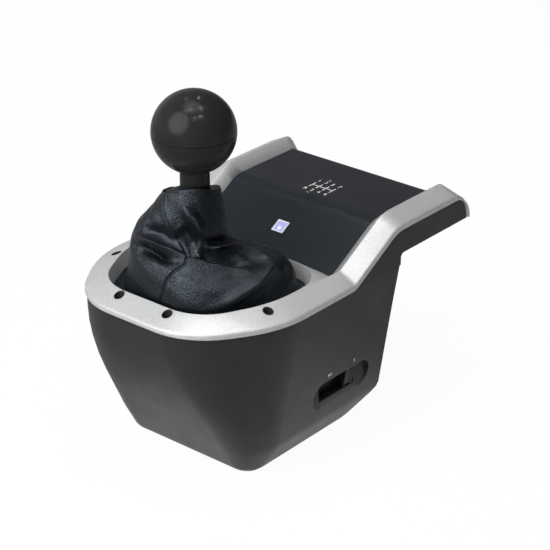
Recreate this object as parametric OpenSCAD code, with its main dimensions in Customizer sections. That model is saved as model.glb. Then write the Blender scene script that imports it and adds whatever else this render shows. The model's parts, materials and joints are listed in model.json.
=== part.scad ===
// Gear shifter for driving games: a tapered hanging body with a metal-look frame,
// a gimballed lever in a seven-speed gate, a leather boot and a mode switch.
// Millimetres. Inside place() the origin is on the lever axis, level with the ring ridge,
// +X to the driver's right, +Y away from the driver.

/* [Body] */
// Height of the ring ridge above the bottom of the body
deck_h = 116; // [108:1:126]
// Half of the overall width across the rim
half_w = 74.2; // [68:0.2:82]
// Front edge of the rim, forward of the lever axis
front_y = -57; // [-64:0.5:-52]
// Rear wall of the hanging body
back_y = 104.6; // [96:0.2:112]
// Rear tip of the desk overhang
tail_y = 176.5; // [166:0.5:186]
// Wall thickness of the housing
wall = 2.6; // [2:0.1:3.5]
// Thickness of the housing floor and of the desk shelf
floor_t = 3.5; // [3:0.1:5]
// Step from the rim edge in to the housing side
rim_step = 0.8; // [0.4:0.1:1.5]
// Inset of the belt line from the rim
belt_in = 5.35; // [3:0.05:8]
// Inset of the lower chamfer line from the rim
sill_in = 15.2; // [12:0.1:18]
// Inset of the bottom face from the rim
foot_in = 24.8; // [22:0.1:30]
// Height and width of the eased edge round the bottom face
foot_ease = 4; // [2:0.5:6]
// Depth of the belt line on the front below the ridge
belt_z = 36; // [30:1:42]
// Depth of the lower chamfer line below the ridge
sill_z = 98.5; // [94:0.5:103]
// Underside of the desk overhang below the ridge
shelf_z = 1.8; // [0.5:0.1:4]

/* [Frame] */
// Inset of the rail ridges from the rim
ridge_in = 12.15; // [10:0.05:15]
// Drop from ridge to rim edge
band_drop = 6.15; // [4:0.05:9]
// Height of the rim edge
rim_t = 3.2; // [2.4:0.1:4.5]
// Width of the eased edge along the rim
rim_ease = 1.1; // [0.5:0.1:1.6]
// Inset of the boot opening from the rim
mouth_in = 15.2; // [14:0.1:17]
// How much the boot opening narrows from the ridge down
funnel = 2.5; // [1:0.1:3]
// Front of the boot opening
mouth_front = -42.8; // [-46:0.1:-40]
// Rear of the boot opening
mouth_rear = 51.6; // [48:0.1:54]
// Rear edge of the ring band
ring_rear = 60.5; // [58:0.5:66]
// Where the rails start to climb
climb_y = 58.8; // [54:0.1:62]
// Where the rails level out
level_y = 99.9; // [94:0.1:104]
// Climb of the rails
climb_h = 23.7; // [18:0.1:28]
// Length of the rounded tail behind the level run of the rails
tail_l = 19.5; // [17:0.5:24]
// Inset of the console panel from the rim
panel_in = 19.2; // [17:0.1:24]
// Drop from ridge to console panel
panel_drop = 6.5; // [5:0.1:8]
// Thickness of the console panel
panel_t = 2.4; // [1.8:0.1:2.8]

/* [Lever] */
// Depth of the gimbal pivot below the ridge
pivot_z = 40; // [38:0.5:44]
// Height of the knob centre above the ridge
ball_z = 91.4; // [84:0.2:100]
// Diameter of the ball knob
ball_d = 50; // [44:0.5:54]
// Diameter of the knob neck
neck_d = 17.6; // [15:0.1:20]
// Height of the knob seam above the ball centre
seam_z = -0.6; // [-4:0.1:2]
// Diameter of the lever rod
rod_d = 10; // [8:0.5:11]
// Diameter of the cross pin
pin_d = 6; // [5:0.5:8]
// Diameter of the yoke trunnions
trunnion_d = 8; // [7:0.5:10]
// Angle between neighbouring gates
gate_step = 8; // [7:0.1:8.5]
// Throw fore and aft from neutral
throw_deg = 12; // [8:0.5:12]
// Diameter of the gate finger
finger_d = 4; // [3:0.1:4.2]
// Thickness of the gate plate
gate_t = 4; // [3:0.5:5]
// Depth of the middle of the gate plate below the pivot
gate_reach = 52; // [50:0.5:54]

/* [Boot] */
// Height of the boot top above the ridge
boot_top = 56.5; // [52:0.5:60]
// Leather thickness
boot_t = 1.2; // [0.8:0.1:1.6]
// Direction that the broad side of the sleeve faces, from the driver's right towards the rear
boot_turn = 39.9; // [30:0.1:50]
// Width of the edge clamped under the frame
boot_hem = 1.2; // [0.8:0.1:1.4]
// Room between the skirt and the wall of the opening
boot_gap = 1.5; // [1:0.1:3]

/* [Mode switch] */
// Middle of the switch scoop behind the lever axis
scoop_y = 61.5; // [56:0.5:66]
// Middle of the switch scoop below the ridge
scoop_z = 78.7; // [74:0.1:82]
// Length of the scoop
scoop_l = 55; // [50:1:60]
// Height of the scoop
scoop_h = 19; // [17:0.5:21]
// Depth of the scoop at its upper edge
scoop_d = 7; // [5:0.5:8]
// Travel of the slider
slide_travel = 20; // [12:1:22]

/* [Fits] */
// Radial running clearance of pins in their bores
run_fit = 0.05; // [0.02:0.01:0.1]
// Gap round panels and covers
seam_gap = 0.2; // [0.1:0.05:0.4]
// Side clearance of the finger in the gate slots
gate_fit = 0.35; // [0.2:0.05:0.6]
// Clearance of the slider in its scoop
slide_fit = 0.3; // [0.2:0.05:0.5]

/* [Hidden] */
$fn = 64;
// Overlap of shapes that join, and overrun of cuts
eps = 0.01;
over = 1;

rim_z = -(band_drop + rim_t);
side_half = half_w - rim_step;
belt_half = half_w - belt_in;
sill_half = half_w - sill_in;
foot_half = half_w - foot_in;
ridge_half = half_w - ridge_in;
mouth_half = half_w - mouth_in;
panel_half = half_w - panel_in;
run_end = tail_y - tail_l;
mid_y = (front_y + tail_y) / 2;
climb = climb_h / (level_y - climb_y);
climb_deg = atan(climb);
wall_lean = atan((belt_half - sill_half) / (sill_z - belt_z));
arc_steps = 8;
tail_steps = 7;

// Nose corners of the rim: inset and radius; its side corners: place and radius
rim_nose = [31.6, 46];
rim_side = [-9.9, 71];
// Bottom face: front and rear edges set back from those of the rim and rear wall, inset of its nose corners
foot_front = 46.3;
foot_rear = 29.1;
foot_nose = 8.2;

// Main slices of the tub at the rim, belt, sill and foot:
// [z, half width, front, nose corner x, side corner y, rear, nose radius, side radius]
tub_keys = [
    [rim_z, side_half, front_y + rim_step, half_w - rim_nose[0] - rim_step, rim_side[0] + rim_step, back_y,
     rim_nose[1] - rim_step, rim_side[1] - rim_step],
    [-belt_z, belt_half, front_y + 3.3, half_w - 26.8, -3.7, back_y, 33, 55],
    [-sill_z, sill_half, front_y + 37.3, half_w - 19.1, 4, back_y, 22.5, 29],
    [-deck_h, foot_half, front_y + foot_front, foot_half - foot_nose, -4.3, back_y - foot_rear, 9, 9]];
tub_rear_r = 1.5;
// Shares of the height above and below the belt, and above and below the sill, that the rounding takes:
// soft over the front, tight along the sides and rear
soft_turns = [[0.7, 0.5], [0.3, 0.5]];
tight_turns = [[0.05, 0.05], [0.05, 0.17]];
// Right-hand corners of the boot opening and of the rim: [x, y, radius]
mouth_corners = [[mouth_half - 21.2, mouth_front, 32], [mouth_half, 0.3, 75], [mouth_half, mouth_rear, 25]];
rim_corners = [[half_w - rim_nose[0], front_y, rim_nose[1]], [half_w, rim_side[0], rim_side[1]],
               [half_w, ring_rear, 30]];
// How far the ring that clamps the boot reaches in and out from the narrow end of the opening
ring_reach = [-1.5, 4];

// Screws: shank, clearance hole, head, hex socket, counterbore, boss, solid left under a blind hole
screw_d = 3;
screw_clear = 3.4;
head_d = 5.6;
head_h = 2;
hex_d = 2.6;
bore_d = 6;
boss_d = 8;
blind = 2;
rib_t = 3;

// Ring screws: places, seat of the heads, depth of their bosses
ring_screws = [[19, mouth_front - 3.6], [mouth_half + 1.5, -6], [half_w - 39.7, mouth_rear + 4]];
head_seat = -6.6;
boss_depth = 14;

// Base cover: half width, front and rear, ledge, thickness, sunk head, screw bosses, vents
cover_half = 34;
cover_y = [3, 62];
cover_lip = 8;
cover_t = 2.5;
cover_head = 1.2;
cover_edge = 4;
cover_boss = 11;
cover_screws = [for (y = cover_y + cover_edge * [1, -1]) [cover_half - cover_edge, y]];
vent_half = 14;
vent_w = 2.4;
vent_pitch = 6;

// Clamp inserts and desk pad in the underside of the shelf
insert_at = [42, 130];
insert_d = 9;
insert_bore = 5;
insert_h = 9;
insert_wall = 2;
pad_half = 34;
pad_y = [112, 154];
pad_t = 1.2;

// Control board on pegs above the shelf, and its taller parts: [x, y, length, width, height]
board_half = 32;
board_y = [110, 150];
board_z = 5;
board_t = 1.6;
board_edge = 5;
peg_d = 6;
board_pegs = [for (y = board_y + board_edge * [1, -1]) [board_half - board_edge, y]];
board_parts = [[-6, 124, 12, 12, 1.6], [-26, 118, 12, 6, 4.4], [14, 132, 12, 6, 4.4]];

// Cable socket through the rear wall: middle, size, flange, port
socket_at = [-30, -30.5];
socket_w = 12;
socket_h = 7;
socket_l = 14;
socket_lip = 3;
port_w = 9;
port_h = 3.4;
port_l = 8;

// Status light on the sloped part of the console
led_y = 77.8;
led_size = 7;
led_rim = 0.9;
led_depth = 2;
led_gap = 2.4;
led_post_x = 10;
led_post_d = 4;
led_chip = 5;

// Lever mechanism: chassis flange, bearing arms, yoke, hub, cam, gate
pivot_at = [0, 0, -pivot_z];
gate_mid = -pivot_z - gate_reach;
flange_z = -24;
flange_t = 3;
chassis_feet = [[half_w - 24.2, -18], [half_w - 24.2, 28]];
foot_rim = [5, 6];
foot_post_h = 22;
window_x = 24;
arm_y = 23.5;
arm_t = 5;
arm_d = 26;
bush_d = 11;
bush_lip = 1.5;
yoke_half = [21, 17.5, 6];
yoke_in = [15, 11.5];
hub_half = 9;
hub_d = 18;
cam_r = 11;
cam_t = 5;
notch_w = 1.8;
leaf_t = 0.7;
leaf_gap = 0.6;
clip_d = 11;
clip_t = 1.2;
spacer_d = 12;
plate_x = 30;
plate_t = 4;
plate_half_y = 14;
ledge_x = 20;
ledge_t = 4;
gate_holes = [[27, 9], [27, -9]];
gate_rim = 4;
shank_d = 8;
finger_grip = 26;
finger_out = 4;

// Knob: brass core, its cap, where the core and the lever end
core_d = 15;
core_z = boot_top + 7.5;
cap_d = 17;
cap_h = 3;
rod_end = ball_z - 5.4;
neck_low = boot_top - 9;
seam_w = 0.35;
seam_cut = 0.8;
collar_h = 5;
collar_wall = 1.2;

// Slider: stem slot, thumb tab, well beside it, carriage and switch body behind the wall
slot_h = 3.4;
slot_up = 2;
tab_w = 8;
tab_h = 13;
tab_y = scoop_y + 8;
tab_top = 0.6;
grip_r = 6.2;
grip_out = 4.4;
well_l = 34;
well_in = 8;
well_lip = 4.5;
scoop_wall = 2;
stem_l = 6;
carriage = [12, 12, 2];
switch_size = [15, 20, 4.4];
switch_leg = 3;
leg_h = 2.6;

// Rotary sensor body
sensor_w = 16;
sensor_t = 4.5;
plug_size = [3, 10, 3];

// Boot rows from the hem up: share of the way from the opening to the row's own outline, offset from the opening
boot_share = [[0, boot_hem], [0, -0.6], [0.45, -0.6], [0.85, -0.6], [1, 0], [1, 0], [1, 0], [1, 0], [1, 0], [1, 0],
              [1, 0], [1, 0], [1, 0], [1, 0]];
// Reach of each row to its right, back, left and front, looking at the broad side
boot_reach = [
    [60, 40, 44, 50], [60, 40, 44, 50], [62, 40, 45, 52], [60, 39, 43.5, 49], [55, 37, 42, 45],
    [48.5, 34, 39.8, 39.5], [40, 30, 38.2, 34], [30, 25.5, 36.5, 28.5], [21.5, 21.5, 34, 23.5],
    [18.2, 18.5, 30, 21], [17.6, 16.5, 25.5, 19], [16.6, 14.5, 22.5, 16], [15.4, 12.8, 20.6, 13],
    [14.8, 12, 19.8, 11.5]];
// Height of each row above the ridge on the same four sides
hem_z = rim_z - 0.1;
// Top and thickness of the ring that clamps the hem
ring_z = hem_z - boot_t - 0.1;
ring_t = 2;
boot_rise = [
    [hem_z, hem_z, hem_z, hem_z], [hem_z, hem_z, hem_z, hem_z], [-6.5, -8.5, -8.5, -4.5], [0.5, -3, -4, 3],
    [7.5, 4, 4, 10], [12.5, 11, 13, 16.5], [16, 17, 20, 21], [21, 22, 27, 24.5], [25, 26, 33, 27],
    [31, 31, 38.5, 32.5], [38.5, 38, 43.5, 39.5], [46, 45, 48.5, 47],
    [boot_top - 3.5, boot_top - 4.5, boot_top - 3.5, boot_top - 1.5],
    [boot_top, boot_top - 1, boot_top - 1, boot_top + 3]];
// Folds and ridges: from angle and row, to angle and row, half width in rows, depth
boot_folds = [
    [-150, 8.4, -104, 7.35, 0.55, -3.2], [-152, 7.5, -104, 6.75, 0.45, 2], [-99, 6.95, -93, 6.95, 0.45, -3.2],
    [-77, 8.75, -30, 8.2, 0.4, -2.6], [-76, 8.9, -74, 8.8, 0.5, -2.2], [-97, 11.2, -76, 9.4, 0.5, 2.2],
    [-112, 10, -92, 8, 0.7, -3], [-8, 5.7, -62, 2.6, 0.6, 3.5], [5, 4.6, -45, 2.4, 0.8, -3],
    [-74, 8.2, -25, 7.2, 0.4, 1.8]];
// Rows per degree, to measure folds in one unit
fold_turn = 0.08;
// Rows and angles that the solid is drawn at, closer together where the folds are
boot_rows = [0, 1, 2, 3, 4, 5, 6, 6.5, 7, 7.5, 8, 8.5, 9, 9.7, 10.4, 11.2, 12, 13];
fold_angles = [-160, 0];
boot_angles = concat([for (i = [0:22]) mix(fold_angles[0], fold_angles[1], i / 23)],
                     [for (i = [0:10]) mix(fold_angles[1], fold_angles[0] + 360, i / 11)]);

function xy(p) = [p[0], p[1]];
function mix(a, b, t) = a + (b - a) * t;
function span(middle, size) = [middle - size / 2, middle + size / 2];
function reversed(l) = [for (i = [len(l) - 1:-1:0]) l[i]];

// Points of an arc of radius r that rounds corner c between p and n
function corner_arc(p, c, n, r, k) =
    let (a = (p - c) / norm(p - c),
         b = (n - c) / norm(n - c),
         half = acos(a * b) / 2,
         s = c + a * r / tan(half),
         m = c + (a + b) / norm(a + b) * r / sin(half),
         start = atan2(s[1] - m[1], s[0] - m[0]),
         turn = (a[0] * b[1] - a[1] * b[0] > 0 ? -1 : 1) * (180 - 2 * half))
    [for (i = [0:k]) m + r * [cos(start + turn * i / k), sin(start + turn * i / k)]];

// Closed outline with every corner [x, y, radius] rounded
function rounded(c, k) =
    let (n = len(c))
    [for (i = [0:n - 1])
        each corner_arc(xy(c[(i + n - 1) % n]), xy(c[i]), xy(c[(i + 1) % n]), c[i][2], k)];

// Right-hand corners, front to rear, and their mirror images
function both_sides(r) =
    concat(r, [for (i = [len(r) - 1:-1:0]) [-r[i][0], r[i][1], r[i][2]]]);

// Outward direction of the edge from p to q
function edge_out(p, q) = [q[1] - p[1], p[0] - q[0]] / norm(xy(q) - xy(p));

// Closed outline of rounded corners moved outward by d
function grown(corners, d) =
    let (c = both_sides(corners), n = len(c))
    rounded([for (i = [0:n - 1])
        let (a = edge_out(c[(i + n - 1) % n], c[i]), b = edge_out(c[i], c[(i + 1) % n]))
        concat(xy(c[i]) + (a + b) * d / (1 + a * b), c[i][2] + d)], arc_steps);

mouth_outline = grown(mouth_corners, 0);
throat_outline = grown(mouth_corners, -funnel);
rim_outline = grown(rim_corners, 0);

function tub_outline(s, d) =
    both_sides([[s[3] - 0.5 * d, s[2] + 1.1 * d, max(1, s[6] - d)],
                [s[1] - d, s[4] + 0.4 * d, max(1, s[7] - d)],
                [s[1] - d, s[5] - d, tub_rear_r]]);

// Point at share s of a curve from p to q that leaves and arrives along the lines to c
function curve(p, c, q, s) = (1 - s) * (1 - s) * p + 2 * s * (1 - s) * c + s * s * q;

// Start, middle and end of the rounded turn at slice k
function turn_ends(keys, k, turns) =
    [mix(keys[k], keys[k - 1], turns[k - 1][0]), keys[k], mix(keys[k], keys[k + 1], turns[k - 1][1])];

// Slice at height z: straight between the main slices, curved in the turns
function slice_at(keys, z, turns) =
    let (k = 2 * z > keys[1][0] + keys[2][0] ? 1 : 2,
         t = turn_ends(keys, k, turns),
         lead = t[1][0] - t[0][0],
         down = t[0][0] - z,
         s = down / (sqrt(max(0, lead * lead - (t[0][0] - 2 * t[1][0] + t[2][0]) * down)) - lead))
    z >= t[0][0] ? mix(keys[k], keys[k - 1], (z - keys[k][0]) / (keys[k - 1][0] - keys[k][0])) :
    z <= t[2][0] ? mix(keys[k], keys[k + 1], (z - keys[k][0]) / (keys[k + 1][0] - keys[k][0])) :
    curve(t[0], t[1], t[2], s);

// Heights at which the tub is drawn, closer together in the turns
function tub_levels(keys) =
    let (belt = turn_ends(keys, 1, soft_turns),
         sill = turn_ends(keys, 2, soft_turns),
         edge = turn_ends(keys, 2, tight_turns))
    concat([keys[0][0]],
           [for (s = [0:0.25:1]) curve(belt[0], belt[1], belt[2], s)[0]],
           [sill[0][0], (sill[0][0] + edge[0][0]) / 2],
           [for (s = [0, 0.5, 1]) curve(edge[0], edge[1], edge[2], s)[0]],
           [sill[2][0]],
           [for (s = [1, 0.5, 0]) keys[3][0] + foot_ease * s]);

function tub_slices(keys) =
    [for (z = tub_levels(keys))
        let (soft = slice_at(keys, z, soft_turns),
             tight = slice_at(keys, z, tight_turns),
             low = max(0, 1 - (z - keys[3][0]) / foot_ease),
             draw = foot_ease / 2 * low * low)
        [z, tight[1] - draw, soft[2] + draw, soft[3] - draw / 2, soft[4], tight[5] - draw, soft[6], soft[7]]];

// Ridge line of a rail in the YZ plane, with both bends rounded, starting under the ring
rail_lead = 46.8;
bend_r = [8, 24];
rail_path = concat(
    [[climb_y - rail_lead, -0.8], [climb_y - 18.8, 0]],
    corner_arc([0, 0], [climb_y, 0], [level_y, climb_h], bend_r[0], 3),
    corner_arc([climb_y, 0], [level_y, climb_h], [run_end, climb_h], bend_r[1], 5),
    [[run_end, climb_h]]);
console_line = [for (p = rail_path) if (p[0] > climb_y - 16 && p[0] < run_end - 1) p];

// Points of a quarter ellipse that closes the tail, from level down to the shelf
function tail_arc(y, z, reach) =
    [for (i = [1:tail_steps])
        [y + reach * sin(90 * i / tail_steps), -shelf_z + (z + shelf_z) * cos(90 * i / tail_steps)]];

// One long edge of a rail: x, drop below the ridge, where its tail arc starts and how far it reaches,
// how far the edge is turned in where it starts
function rail_edge(x, drop, y_end, reach, toe_in = 0) =
    concat([for (p = rail_path)
               [x - toe_in * max(0, (climb_y - p[0]) / rail_lead), p[0] > run_end - 1 ? y_end : p[0],
                max(rim_z, p[1] - drop)]],
           [for (q = tail_arc(y_end, climb_h - drop, reach)) [x, q[0], q[1]]]);

// Tail of the frame: the seat of the side walls, the rim edge, and the panel between the rails
lip_end = run_end + 3;
lip_reach = tail_y - lip_end - 2.6;
panel_end = run_end - 2;
panel_reach = tail_l - 7.5;
under_reach = panel_reach - 3;

// Edges of the right rail in order round its section, from the ridge down its inner side
rail_edges = [
    rail_edge(ridge_half, 0, run_end, tail_l - 6, ridge_half - mouth_half),
    rail_edge(panel_half, panel_drop, panel_end, panel_reach),
    rail_edge(panel_half, -rim_z, panel_end, under_reach),
    rail_edge(side_half - wall, -rim_z, lip_end, lip_reach),
    rail_edge(half_w, -rim_z, lip_end, tail_y - lip_end - 0.4),
    rail_edge(half_w, band_drop + rim_ease, run_end + 0.2, tail_l - 0.2),
    rail_edge(half_w - rim_ease, band_drop * (1 - rim_ease / ridge_in), run_end + 0.2, tail_l - 0.5)];

// Console panel line in the YZ plane at a drop below the ridge
function panel_line(drop, reach) =
    concat([for (p = console_line) [p[0], p[1] - drop]],
           [[panel_end, climb_h - drop]],
           tail_arc(panel_end, climb_h - drop, reach));

module place() translate([0, -mid_y, deck_h]) children();

module mirror_pair() {
    children();
    mirror([1, 0, 0]) children();
}

module fore_and_aft() {
    children();
    mirror([0, 1, 0]) children();
}

// Sweep a YZ outline across X
module across(half, outline) {
    translate([-half, 0, 0])
        rotate([90, 0, 90])
            linear_extrude(2 * half)
                polygon(outline);
}

// Upright prism of an XY outline between two heights
module prism(outline, z) {
    translate([0, 0, z[0]])
        linear_extrude(z[1] - z[0])
            polygon(outline);
}

// Strip-by-strip skin through lists of points that run side by side, closed at both ends
module skin(edges) {
    m = len(edges);
    n = len(edges[0]);
    points = [for (j = [0:n - 1]) for (i = [0:m - 1]) edges[i][j]];
    sides = [for (j = [0:n - 2]) for (i = [0:m - 1])
        let (a = j * m + i, b = j * m + (i + 1) % m)
        each [[a, b, b + m], [a, b + m, a + m]]];
    start = [for (i = [1:m - 2]) [0, i + 1, i]];
    finish = [for (i = [1:m - 2]) (n - 1) * m * [1, 1, 1] + [0, i, i + 1]];
    polyhedron(points, concat(sides, start, finish), convexity = 6);
}

// Body of the tub through its slices, every slice drawn in by d
module tub(keys, d) {
    outlines = [for (s = tub_slices(keys)) [for (p = rounded(tub_outline(s, d), arc_steps)) [p[0], p[1], s[0]]]];
    skin([for (k = [0:len(outlines[0]) - 1]) [for (o = outlines) o[k]]]);
}

// Local frame on the right side wall: +Z outward, +Y rearward, +X down the wall
module on_wall(y, z) {
    translate([belt_half - (z - belt_z) * tan(wall_lean), y, -z])
        rotate([0, 90 + wall_lean, 0])
            children();
}

// Local frame on the sloped part of the console: +Z outward, +Y up the slope
module on_climb(y) {
    translate([0, y, (y - climb_y) * climb - panel_drop])
        rotate([climb_deg, 0, 0])
            children();
}

module slab(x, y, z) translate([x[0], y[0], z[0]]) cube([x[1] - x[0], y[1] - y[0], z[1] - z[0]]);

// Block centred on X and Y, with its lowest face at z
module block(size, z) translate([-size[0] / 2, -size[1] / 2, z]) cube(size);

module post(at, d, z) translate([at[0], at[1], z[0]]) cylinder(d = d, h = z[1] - z[0]);

// Round bars through the pivot, along X and along Y
module bar_x(d, x) translate([x[0], 0, -pivot_z]) rotate([0, 90, 0]) cylinder(d = d, h = x[1] - x[0]);

module bar_y(d, y) translate([0, y[0], -pivot_z]) rotate([-90, 0, 0]) cylinder(d = d, h = y[1] - y[0]);

module screw(at, head_z, tip_z) {
    difference() {
        post(at, head_d, [head_z, head_z + head_h]);
        translate([at[0], at[1], head_z + head_h / 2]) cylinder(d = hex_d, h = head_h, $fn = 6);
    }
    post(at, screw_d, [tip_z, head_z + eps]);
}

module stadium(l, h, t) {
    block([h, l - h, t], 0);
    for (s = [-1, 1])
        translate([0, s * (l - h) / 2, 0]) cylinder(d = h, h = t);
}

// Inner posts and ribs of the housing
module housing_posts() {
    boss_low = rim_z - boss_depth;
    foot_low = flange_z - foot_post_h;
    mirror_pair() {
        for (p = ring_screws) post(p, boss_d, [boss_low, ring_z - ring_t - seam_gap]);
        slab(span(ring_screws[0][0], rib_t), [front_y, ring_screws[0][1]], [boss_low, rim_z - blind]);
        slab([ring_screws[1][0], half_w], span(ring_screws[1][1], rib_t), [boss_low, rim_z - blind]);
        for (p = chassis_feet) {
            post(p, boss_d + 1, [foot_low, flange_z]);
            slab([p[0], half_w], span(p[1], rib_t), [foot_low, flange_z - 1]);
        }
        for (p = cover_screws) post(p, boss_d, [-deck_h + cover_t, -deck_h + cover_boss]);
    }
    slab([-half_w, half_w], [ring_rear - rib_t - 0.5, ring_rear - 0.5], [boss_low, rim_z]);
}

module housing_holes() {
    mirror_pair() {
        for (p = ring_screws) post(p, screw_d, [rim_z - boss_depth + blind, rim_z + over]);
        for (p = chassis_feet) post(p, screw_d, [flange_z - foot_post_h + 3 * blind, flange_z + over]);
        for (p = cover_screws) post(p, screw_d, [-deck_h - over, -deck_h + cover_boss - blind]);
        post(insert_at, insert_d, [-shelf_z - over, -shelf_z + insert_h]);
    }
}

// Posts over the shelf: clamp insert bosses, and pegs that the control board is staked on
module shelf_posts() {
    mirror_pair() {
        post(insert_at, insert_d + 2 * insert_wall, [-shelf_z, -shelf_z + insert_h + insert_wall]);
        for (p = board_pegs) {
            post(p, peg_d, [-shelf_z + eps, board_z]);
            post(p, screw_d, [board_z - eps, board_z + board_t + over]);
        }
    }
}

// Clears the shelf floor beyond the tail ends of the panel and rails
module shelf_end() {
    inner = panel_end + under_reach - panel_t / 2;
    outer = lip_end + lip_reach - 0.6;
    inner_half = side_half - wall;
    far = tail_y + over;
    prism([[-panel_half, inner], [panel_half, inner], [inner_half, outer], [inner_half, far], [-inner_half, far],
           [-inner_half, outer]], [-shelf_z - over, climb_h]);
}

// Thumb scoop: deep at its upper edge, running out at its lower edge, with the slider well and stem slot
module scoop_cut() {
    run_in = scoop_d * 0.62;
    on_wall(scoop_y, scoop_z) {
        intersection() {
            translate([0, 0, -scoop_d]) stadium(scoop_l, scoop_h, 2 * scoop_d);
            translate([-scoop_h / 2, -scoop_l, -run_in])
                rotate([0, -atan(run_in / scoop_h), 0]) cube([2 * scoop_h, 2 * scoop_l, 4 * scoop_d]);
        }
        translate([-scoop_h / 2, -scoop_l / 2 + well_in, -scoop_d])
            cube([scoop_h - well_lip, well_l, scoop_d + over]);
        translate([-slot_up, tab_y - scoop_y - slide_travel / 2, 0])
            block([slot_h, slide_travel + stem_l + 2 * over, scoop_wall + 2 * over], -scoop_d - scoop_wall - over);
    }
}

module main_housing() {
    deck_top = [for (p = console_line) [p[0], p[1] + rim_z]];
    deck_tail = concat([[lip_end, climb_h + rim_z]], tail_arc(lip_end, climb_h + rim_z, lip_reach));
    fillet = corner_arc([tail_y, -shelf_z], [back_y, -shelf_z], [back_y, rim_z], 3, 5);
    deck = concat(deck_top, deck_tail, fillet, [[back_y, rim_z]]);
    deck_wall = wall + 0.4;
    hollow_y = [climb_y - 15, back_y - deck_wall, tail_y];
    hollow_z = [rim_z + 0.4, -shelf_z + floor_t - 0.5, climb_h];
    hollow = [[hollow_y[0], hollow_z[0]], [hollow_y[0], hollow_z[2]], [hollow_y[2], hollow_z[2]],
              [hollow_y[2], hollow_z[1]], [hollow_y[1], hollow_z[1]], [hollow_y[1], hollow_z[0]]];
    hollow_keys = [mix(tub_keys[1], tub_keys[0], 1 + over / (belt_z + rim_z)),
                   tub_keys[1],
                   tub_keys[2],
                   mix(tub_keys[3], tub_keys[2], floor_t / (deck_h - sill_z))];
    ledge_half = cover_half - cover_lip;
    color([0.2, 0.2, 0.2]) place() difference() {
        union() {
            difference() {
                union() {
                    tub(tub_keys, 0);
                    across(side_half, deck);
                }
                tub(hollow_keys, wall);
                across(side_half - deck_wall, hollow);
                shelf_end();
            }
            intersection() {
                tub(tub_keys, 0);
                housing_posts();
            }
            on_wall(scoop_y, scoop_z)
                translate([0, 0, -scoop_d - scoop_wall])
                    stadium(scoop_l + rib_t, scoop_h + rib_t, scoop_d + scoop_wall / 2);
            shelf_posts();
        }
        housing_holes();
        scoop_cut();
        slab([-cover_half, cover_half], cover_y, [-deck_h - over, -deck_h + cover_t]);
        slab([-ledge_half, ledge_half], cover_y + cover_lip * [1, -1], [-deck_h - over, -deck_h + floor_t + over]);
        slab([-pad_half, pad_half], pad_y, [-shelf_z - over, -shelf_z + pad_t]);
        slab(span(socket_at[0], socket_w), [back_y - wall - over, back_y + over], span(socket_at[1], socket_h));
    }
}

module base_cover() {
    cover_low = -deck_h;
    color([0.22, 0.22, 0.22]) place() difference() {
        slab(span(0, 2 * cover_half - 2 * seam_gap), cover_y + seam_gap * [1, -1],
             [cover_low, cover_low + cover_t]);
        mirror_pair() for (p = cover_screws) {
            post(p, screw_clear, [cover_low - over, cover_low + cover_t + over]);
            post(p, bore_d, [cover_low - over, cover_low + cover_head]);
        }
        for (i = [-2:2])
            slab([-vent_half, vent_half], span((cover_y[0] + cover_y[1]) / 2 + vent_pitch * i, vent_w),
                 [cover_low - over, cover_low + cover_t + over]);
    }
}

module base_screws() {
    color([0.3, 0.3, 0.32]) place() mirror_pair() for (p = cover_screws) {
        post(p, head_d, [-deck_h + seam_gap, -deck_h + cover_head]);
        post(p, screw_d, [-deck_h + cover_head - eps, -deck_h + cover_boss - blind]);
    }
}

module desk_pad() {
    color([0.1, 0.1, 0.1]) place()
        slab(span(0, 2 * pad_half - 2 * seam_gap), pad_y + seam_gap * [1, -1], [-shelf_z, -shelf_z + pad_t]);
}

module clamp_inserts() {
    color([0.75, 0.6, 0.3]) place() mirror_pair() difference() {
        post(insert_at, insert_d, [-shelf_z, -shelf_z + insert_h]);
        post(insert_at, insert_bore, [-shelf_z - over, -shelf_z + insert_h + over]);
    }
}

// Ring and rails in one piece, roof-shaped in section
module top_frame() {
    color([0.7, 0.7, 0.7]) place() difference() {
        union() {
            hull() {
                prism(mouth_outline, [-eps, 0]);
                prism(grown(rim_corners, -rim_ease), [rim_z, -band_drop * (1 - rim_ease / mouth_in)]);
                prism(rim_outline, [rim_z, -band_drop - rim_ease]);
            }
            mirror_pair() skin(rail_edges);
        }
        hull() {
            prism(mouth_outline, [0, over]);
            prism(throat_outline, [rim_z - over, rim_z]);
        }
        mirror_pair() for (p = ring_screws) {
            post(p, bore_d, [head_seat, over]);
            post(p, screw_clear, [rim_z - over, 0]);
        }
    }
}

module frame_screws() {
    color([0.15, 0.15, 0.16]) place() mirror_pair()
        for (p = ring_screws) screw(p, head_seat, rim_z - boss_depth + blind);
}

module console_panel() {
    window = led_size + 2 * led_rim;
    color([0.24, 0.24, 0.25]) place() difference() {
        union() {
            across(panel_half, concat(panel_line(panel_drop, panel_reach),
                                      reversed(panel_line(panel_drop + panel_t, panel_reach - panel_t))));
            on_climb(led_y) mirror_pair()
                post([led_post_x, 0], led_post_d, [-panel_t - led_gap, -panel_t / 2]);
        }
        prism(rim_outline, [rim_z - climb_h, climb_h]);
        on_climb(led_y) block([window, window, 4 * panel_t], -2 * panel_t);
    }
}

module led_lens() {
    color([0.75, 0.78, 0.95]) place() on_climb(led_y) block([led_size, led_size, led_depth], -led_depth);
}

module led_bezel() {
    outer = led_size + 2 * led_rim;
    color([0.9, 0.9, 0.92]) place() on_climb(led_y) difference() {
        block([outer, outer, led_depth + 0.1], -led_depth);
        block([led_size, led_size, led_depth + 2 * over], -led_depth - over);
    }
}

module led_board() {
    board_top = -panel_t - led_gap;
    color([0.1, 0.35, 0.2]) place() on_climb(led_y) {
        block([2 * led_post_x + 2 * led_post_d, 4 * led_post_d, board_t], board_top - board_t);
        block([led_chip, led_chip, led_gap - 0.8], board_top - eps);
    }
}

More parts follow.
